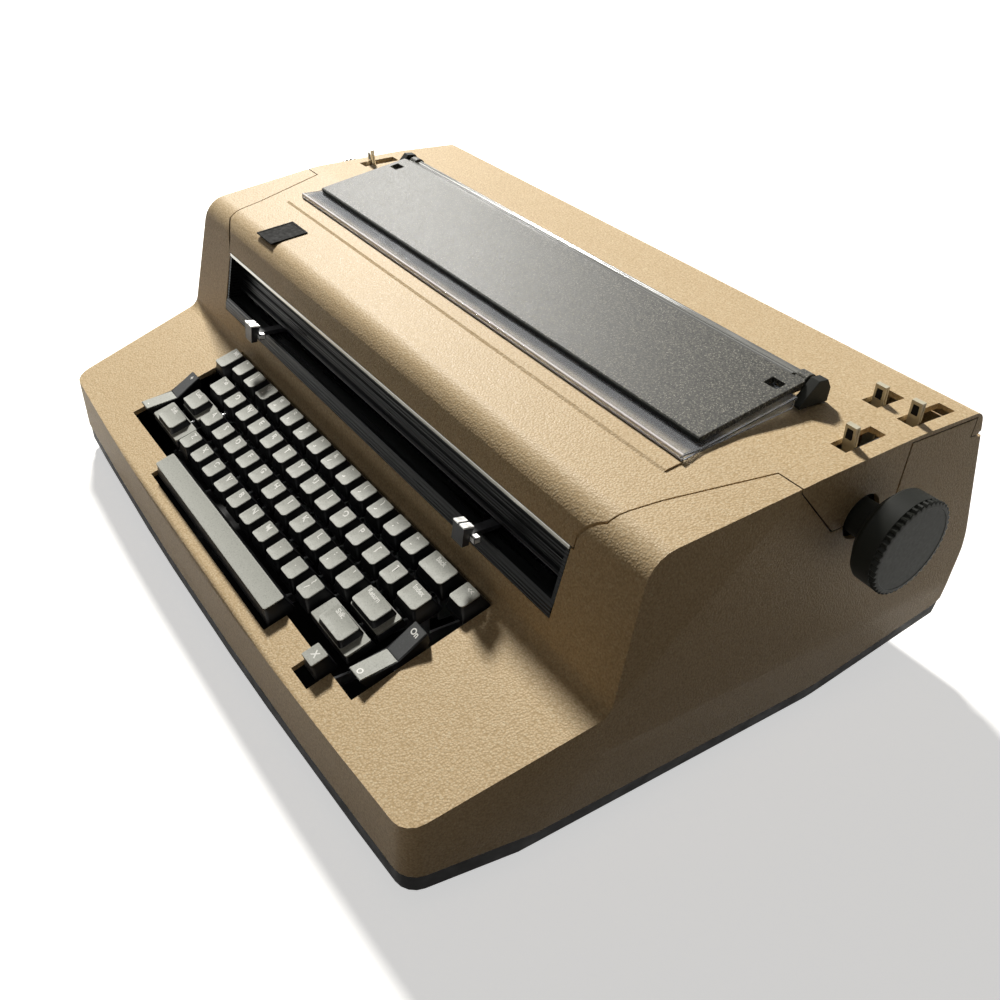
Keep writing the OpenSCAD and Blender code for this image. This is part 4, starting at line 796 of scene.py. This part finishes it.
def platen_knob(side):
    """A turned knob: smooth band, short saw teeth at its outer edge, flat face."""
    low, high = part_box("platen_knobs")
    radius, wall = (high.y - low.y) / 2, high.x - KNOB_REACH
    turned = [(out, r * MM, 0.0) for out, r in KNOB_HUB]
    turned += [(out, radius - inset * MM, cut * MM) for out, inset, cut in KNOB_HEAD]
    turned.append((KNOB_CENTRE[0], KNOB_CENTRE[1] * MM, 0.0))
    rings = []
    for out, r, cut in turned:
        ring = []
        for i in range(KNOB_TEETH * KNOB_STEPS):
            angle = 2 * math.pi * i / (KNOB_TEETH * KNOB_STEPS)
            at = r - cut * SAW_TOOTH[i % KNOB_STEPS]
            ring.append(Vector((side * (wall + out * MM), PLATEN_Y + at * math.cos(angle),
                                PLATEN_Z + at * math.sin(angle))))
        rings.append(ring)
    bm = bmesh.new()
    loft(bm, rings)
    name = "platen_knob_left" if side < 0 else "platen_knob_right"
    replaces = ("platen_knobs",) if side < 0 else ()
    new_piece(name, bm, "knob", "platen_roll", "key_black", replaces, 28)


def margin_cap(node):
    """Chromed caps on the slanted top of a margin lever, and the chromed peg beside it."""
    low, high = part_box(node)
    body = node.replace("_lever", "")
    x, y, z = high.x - CAP_MIDDLE * MM, low.y, high.z
    slant = [(y + dy * MM, z + dz * MM) for dy, dz in CAP_SLANT]
    for i, (x0, x1) in enumerate(CAP_ENDS):
        bar(f"{node}_cap_{i + 1}", slant, x + x0 * MM, x + x1 * MM, "chrome", body, "steel", 0.12 * MM)
    bm = bmesh.new()
    block(bm, *[(x + dx * MM, y + dy * MM, z + dz * MM) for dx, dy, dz in PEG_CORNERS])
    ease(bm, 0.5 * MM, 3)
    new_piece(f"{node}_peg", bm, "chrome", body, "steel")


def plate_rail():
    """Smoke grey rail along the rear edge of the plate over the platen, with two raised lines."""
    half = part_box("platen_cover_plate")[1].x - RAIL_INSET * MM
    y, z = PLATE_REAR
    profile = [(y + dy * MM, z + dz * MM) for dy, dz in RAIL_PROFILE]
    bar("plate_rear_rail", profile, -half, half, "rail", "platen_cover", "key_grey", degrees=60)


def plate_lip():
    """Black lip that closes the front edge of the plate over the platen."""
    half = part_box("platen_cover_plate")[1].x
    back = Vector((math.cos(PLATE_SLOPE), math.sin(PLATE_SLOPE)))
    down = Vector((math.sin(PLATE_SLOPE), -math.cos(PLATE_SLOPE)))
    front = PLATE_REAR - back * PLATE_DEEP
    high, low = 0.5 * MM, PLATE_THICK - 0.1 * MM
    proud, inside = -0.35 * MM, 1.0 * MM
    corners = [front + down * h + back * b
               for h, b in ((high, proud), (high, inside), (low, inside), (low, proud))]
    bar("plate_front_lip", corners, -half, half, "knob", "platen_cover", "key_black")


def shield_highlight_strips():
    """Two near-white strips along the front wall of the clear shield: painted highlights on its polished
    edges.
    """
    low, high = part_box("clear_shield")
    wall = [v.co.z for v in NODES["clear_shield"].data.vertices if v.co.y < low.y + 0.2 * MM]
    top = max(wall)
    y0, y1 = low.y - EDGE_PROUD, low.y + EDGE_DEEP
    for name, z0, z1 in (("shield_foot_highlight", low.z, low.z + FOOT_HIGH),
                         ("shield_top_highlight", top - TOP_HIGH, top + EDGE_PROUD)):
        bar(name, [(y0, z0), (y1, z0), (y1, z1), (y0, z1)], low.x, high.x,
            "clear_edge_painted_highlight", "platen_cover", "clear", 0.2 * MM)


def lever_window_shade(node):
    """Dark block in the window under the tip of a finger lever: painted shade where the window is in shadow.
    """
    low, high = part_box(node)
    tip = [v.co.y for v in NODES[node].data.vertices if v.co.z > high.z - 0.6 * MM]
    x, y = (low.x + high.x) / 2, (min(tip) + max(tip)) / 2
    half = (high.x - low.x) / 2 - WINDOW_SIDE * MM
    (y0, z0), (y1, z1) = WINDOW_FRONT, WINDOW_REAR
    bm = bmesh.new()
    block(bm, (x - half, y + y0 * MM, high.z + z0 * MM), (x + half, y + y1 * MM, high.z + z1 * MM))
    name = node + "_window_shade"
    new_piece(name, bm, "badge", node.replace("_lever", ""), "key_black")


# ---------------------------------------------------------------- property groups

def hex_colour(name, what, code):
    """A colour of the looks, kept as a hex code."""
    return bpy.props.StringProperty(name=name, description=f"Hex colour of {what}", default=code)


class TypewriterFinish(bpy.types.PropertyGroup):
    casing: hex_colour("Casing", "the casing paint", "#E0C69E")
    # Used both for the paint's mottling and for painted shade between its bumps.
    casing_mottle_and_shade: hex_colour("Casing grain", "the paint's low spots", "#BFA377")
    casing_high: hex_colour("Casing peaks", "the paint's peaks", "#F0DEBB")
    pebble: bpy.props.FloatProperty(name="Pebble size", description="Size of a grain of the casing paint",
                                    default=1.2 * MM, min=0.4 * MM, max=4 * MM, unit="LENGTH")
    plate: hex_colour("Cover plate", "the plate over the platen", "#403F3A")
    key_skirt: hex_colour("Key skirts", "the key skirts", "#0B0B0C")
    # The light grey of the key tops is a painted reflection on black plastic.
    key_top_painted_reflection: hex_colour("Key tops", "the key tops", "#B9BAB2")


class TypewriterKeys(bpy.types.PropertyGroup):
    mark_size: bpy.props.FloatProperty(name="Mark size", description="Height of the letters on the key tops",
                                       default=5.6 * MM, min=2 * MM, max=8 * MM, unit="LENGTH")


class TypewriterStage(bpy.types.PropertyGroup):
    key_power: bpy.props.FloatProperty(name="Main lamp", description="Power of the soft lamp at the left",
                                       default=235.0, min=0.0, subtype="POWER")
    fill: bpy.props.FloatProperty(name="Fill light", description="Strength of the even light from all round",
                                  default=0.055, min=0.0, max=2.0)
    lamp_size: bpy.props.FloatProperty(
        name="Lamp size", description="Width of the soft lamp", default=0.5, min=0.05, unit="LENGTH")
    lens: bpy.props.FloatProperty(
        name="Lens", description="Focal length on a 36 mm sensor", default=35.63, unit="CAMERA")


# ---------------------------------------------------------------- operators

class TYPEWRITER_OT_casing(bpy.types.Operator):
    """Finish the casing shells, the pan, the feet and their small parts"""
    bl_idname = "typewriter.casing"
    bl_label = "Casing"

    def execute(self, context):
        dress("lower_case", "casing", 1.2)
        dress("top_cover", "casing", 0.9, 25)
        dress("cover_trim", "trim", 0.3)
        dress("badge_plate", "badge", 0.3)
        dress("bottom_pan", "pan", 0.6)
        dress("rubber_feet", "rubber", 0.5)
        dress("case_screws", "steel", 0.2)
        dress("power_inlet", "black_plastic", 0.5)
        dress("cover_hinge_pins", "bright_steel", 0.2)
        return {"FINISHED"}


class TYPEWRITER_OT_keyboard(bpy.types.Operator):
    """Build the keycaps with their light tops, marks and levers"""
    bl_idname = "typewriter.keyboard"
    bl_label = "Keyboard"

    def execute(self, context):
        letter_rows()
        wide_keys()
        front_keys()
        return {"FINISHED"}


class TYPEWRITER_OT_rockers(bpy.types.Operator):
    """Build the power switch and the tab rocker"""
    bl_idname = "typewriter.rockers"
    bl_label = "Rockers"

    def execute(self, context):
        rocker("power_rocker", 151 * MM, (("O", 0.14, 0), ("On", 0.78, 1)))
        rocker("tab_rocker", -149.5 * MM, (("-", 0.16, 0), ("+", 0.82, 1)))
        return {"FINISHED"}


class TYPEWRITER_OT_margin_scale(bpy.types.Operator):
    """Build the ribbed margin channel and finish the margin levers"""
    bl_idname = "typewriter.margin_scale"
    bl_label = "Margin scale"

    def execute(self, context):
        dress("margin_bezel", "channel", 0.3)
        for node in ("left_margin_lever", "right_margin_lever"):
            dress(node, "black_plastic", 0.4)
            margin_cap(node)
        dress("margin_rack", "steel", 0.2)
        return {"FINISHED"}


class TYPEWRITER_OT_platen(bpy.types.Operator):
    """Finish the platen, its shaft and knobs, the feed rollers and the paper bail"""
    bl_idname = "typewriter.platen"
    bl_label = "Platen"

    def execute(self, context):
        dress("platen", "platen", 0.4)
        dress("platen_shaft", "bright_steel", 0.0)
        for side in (-1, 1):
            platen_knob(side)
        dress("front_feed_rollers", "rubber", 0.4)
        dress("rear_feed_rollers", "rubber", 0.4)
        dress("paper_deflector", "steel", 0.0)
        dress("paper_bail", "bright_steel", 0.2)
        return {"FINISHED"}


class TYPEWRITER_OT_platen_cover(bpy.types.Operator):
    """Finish the plate over the platen, its clear shield and the end caps"""
    bl_idname = "typewriter.platen_cover"
    bl_label = "Platen cover"

    def execute(self, context):
        dress("platen_cover_plate", "plate_dark", 0.4, 8)
        dress("clear_shield", "clear", 0.2)
        dress("cover_end_caps", "knob", 0.7)
        plate_rail()
        plate_lip()
        shield_highlight_strips()
        return {"FINISHED"}


class TYPEWRITER_OT_finger_levers(bpy.types.Operator):
    """Finish the finger levers that stand through the cover"""
    bl_idname = "typewriter.finger_levers"
    bl_label = "Finger levers"

    def execute(self, context):
        for node in ("paper_release_lever", "line_space_lever", "copy_control_lever"):
            dress(node, "cream", 0.3)
            lever_window_shade(node)
        dress("platen_release_lever", "bright_steel", 0.3)
        return {"FINISHED"}


class TYPEWRITER_OT_carriage(bpy.types.Operator):
    """Finish the carrier, its rails, the ribbon cartridge and the type element"""
    bl_idname = "typewriter.carriage"
    bl_label = "Carriage"

    def execute(self, context):
        dress("carrier", "steel", 0.4)
        dress("carrier_rails", "bright_steel", 0.3)
        dress("ribbon_cartridge", "black_plastic", 0.5)
        dress("type_element", "type_metal", 0.2)
        return {"FINISHED"}


class TYPEWRITER_OT_drive(bpy.types.Operator):
    """Finish the frame, the motor and the drive inside"""
    bl_idname = "typewriter.drive"
    bl_label = "Drive"

    def execute(self, context):
        dress("machine_frame", "steel", 0.3)
        dress("motor", "grey_cast", 0.8)
        dress("motor_pulley", "steel", 0.2)
        dress("drive_belt", "rubber", 0.2)
        dress("operational_shaft", "steel", 0.3)
        dress("lever_comb", "steel", 0.0)
        dress("fulcrum_rod", "bright_steel", 0.2)
        return {"FINISHED"}


class TYPEWRITER_OT_stage(bpy.types.Operator):
    """Set up the floor, the soft light and the camera"""
    bl_idname = "typewriter.stage"
    bl_label = "Stage"

    def execute(self, context):
        look = context.scene.typewriter_stage
        set_camera(look.lens)
        lay_floor()
        hang_lamp(look.key_power, look.lamp_size)
        light_all_round(look.fill)
        context.scene.view_settings.view_transform = "Standard"
        return {"FINISHED"}


def seen_directly(tree):
    """1 for camera, glossy and transmission rays, which show the pale surroundings."""
    path = add(tree, "ShaderNodeLightPath")
    both = add(tree, "ShaderNodeMath", {"operation": "MAXIMUM"}, {
        0: (path, "Is Camera Ray"), 1: (path, "Is Glossy Ray")})
    return (add(tree, "ShaderNodeMath", {"operation": "MAXIMUM"}, {
        0: (both, "Value"), 1: (path, "Is Transmission Ray")}), "Value")


# Camera as solved from the keyboard's rows and the casing's edges: where it stands, its own right
# and up, and how far the picture's middle is shifted.
CAMERA_PLACE = Vector((0.4674, -0.3030, 0.4012))
CAMERA_RIGHT = Vector((0.5691, 0.8199, 0.0636)).normalized()
CAMERA_UP = Vector((-0.5479, 0.3203, 0.7728))
CAMERA_SHIFT = (-0.0213, 0.0961)

# The lamp stands at the left and a little behind, as the shadows of the photograph say.
LAMP_TOWARDS = Vector((-1.15, 0.34, 1.0)).normalized()
LAMP_AIM, LAMP_AWAY = Vector((0, 0, 0.1)), 4.0
LAMP_TINT = (1.0, 0.985, 0.945)
WHITE = (1, 1, 1, 1)

# Paper floor: its size, and its own glow where it is seen, as distance from the object and strength.
# The glow is stronger far out, where the lamp falls off.
FLOOR_HALF, FLOOR_THICK = 5, 0.02
GLOW_NEAR, GLOW_FAR = (0.5, 0.58), (1.6, 1.0)


def set_camera(lens):
    data = bpy.data.cameras.new("camera")
    data.lens = lens
    data.sensor_width = 36
    data.shift_x, data.shift_y = CAMERA_SHIFT
    data.clip_start = 0.01
    camera = put("camera", data)
    up = (CAMERA_UP - CAMERA_RIGHT * CAMERA_UP.dot(CAMERA_RIGHT)).normalized()
    turned = Matrix((CAMERA_RIGHT, up, CAMERA_RIGHT.cross(up))).transposed().to_4x4()
    camera.matrix_world = Matrix.Translation(CAMERA_PLACE) @ turned
    bpy.context.scene.camera = camera


def lay_floor():
    """Pale paper floor. Diffuse bounces see it darker, so that it doesn't light the object from below."""
    bm = bmesh.new()
    block(bm, (-FLOOR_HALF, -FLOOR_HALF, -FLOOR_THICK), (FLOOR_HALF, FLOOR_HALF, 0.0))
    floor = put("floor", mesh_of(bm, "floor"))
    material = bpy.data.materials.new("pale_paper_backdrop")
    material.use_nodes = True
    tree = material.node_tree
    tree.nodes.clear()
    seen = seen_directly(tree)
    colour = add(tree, "ShaderNodeMix", {"data_type": "RGBA"}, {
        0: seen, 6: linear("#5E554A"), 7: linear("#F6F5F2")})
    paper = add(tree, "ShaderNodeBsdfDiffuse", None, {"Color": (colour, 2)})
    place = add(tree, "ShaderNodeNewGeometry")
    away = add(tree, "ShaderNodeVectorMath", {"operation": "LENGTH"}, {0: (place, "Position")})
    rise = add(tree, "ShaderNodeMapRange", None, {
        "Value": (away, "Value"), "From Min": GLOW_NEAR[0], "From Max": GLOW_FAR[0],
        "To Min": GLOW_NEAR[1], "To Max": GLOW_FAR[1]})
    lift = add(tree, "ShaderNodeMath", {"operation": "MULTIPLY"}, {0: seen, 1: (rise, "Result")})
    glow = add(tree, "ShaderNodeEmission", None, {"Color": WHITE, "Strength": (lift, "Value")})
    both = add(tree, "ShaderNodeAddShader", None, {0: (paper, "BSDF"), 1: (glow, "Emission")})
    add(tree, "ShaderNodeOutputMaterial", None, {"Surface": (both, "Shader")})
    floor.data.materials.append(material)


def hang_lamp(power, size):
    data = bpy.data.lights.new("main_lamp", "AREA")
    data.shape = "DISK"
    data.size = size
    data.energy = power
    data.color = LAMP_TINT
    lamp = put("main_lamp", data)
    lamp.location = LAMP_AIM + LAMP_TOWARDS * LAMP_AWAY
    lamp.rotation_euler = (-LAMP_TOWARDS).to_track_quat("-Z", "Y").to_euler()


def light_all_round(fill):
    """Low and slightly warm light from all round. Seen directly it is white."""
    world = bpy.data.worlds.new("studio")
    world.use_nodes = True
    bpy.context.scene.world = world
    tree = world.node_tree
    tree.nodes.clear()
    seen = seen_directly(tree)
    strength = add(tree, "ShaderNodeMapRange", None, {"Value": seen, "To Min": fill, "To Max": 1.0})
    hue = add(tree, "ShaderNodeMix", {"data_type": "RGBA"}, {0: seen, 6: linear("#FFF3E2"), 7: WHITE})
    sky = add(tree, "ShaderNodeBackground", None, {"Color": (hue, 2), "Strength": (strength, "Result")})
    add(tree, "ShaderNodeOutputWorld", None, {"Surface": (sky, "Background")})


class TYPEWRITER_PT_panel(bpy.types.Panel):
    """Sidebar panel with the sizes, the colours and the operators"""
    bl_idname = "TYPEWRITER_PT_panel"
    bl_label = "Typewriter"
    bl_space_type = "VIEW_3D"
    bl_region_type = "UI"
    bl_category = "Typewriter"

    def draw(self, context):
        for group in GROUPS:
            settings = getattr(context.scene, group)
            for name in settings.bl_rna.properties.keys():
                if name not in ("rna_type", "name"):
                    self.layout.prop(settings, name)
        for operator in OPERATORS:
            self.layout.operator(operator.bl_idname)


GROUPS = {"typewriter_finish": TypewriterFinish, "typewriter_keys": TypewriterKeys,
          "typewriter_stage": TypewriterStage}
OPERATORS = (TYPEWRITER_OT_casing, TYPEWRITER_OT_keyboard, TYPEWRITER_OT_rockers, TYPEWRITER_OT_margin_scale,
             TYPEWRITER_OT_platen, TYPEWRITER_OT_platen_cover, TYPEWRITER_OT_finger_levers,
             TYPEWRITER_OT_carriage, TYPEWRITER_OT_drive, TYPEWRITER_OT_stage)


def register():
    for kind in (*GROUPS.values(), *OPERATORS, TYPEWRITER_PT_panel):
        bpy.utils.register_class(kind)
    for name, kind in GROUPS.items():
        setattr(bpy.types.Scene, name, bpy.props.PointerProperty(type=kind))


def unregister():
    for name in GROUPS:
        delattr(bpy.types.Scene, name)
    for kind in (TYPEWRITER_PT_panel, *reversed(OPERATORS), *reversed(GROUPS.values())):
        bpy.utils.unregister_class(kind)


def main():
    register()
    make_finishes()
    for operator in OPERATORS:
        getattr(bpy.ops.typewriter, operator.bl_idname.split(".")[1])()


if __name__ == "__main__":
    main()
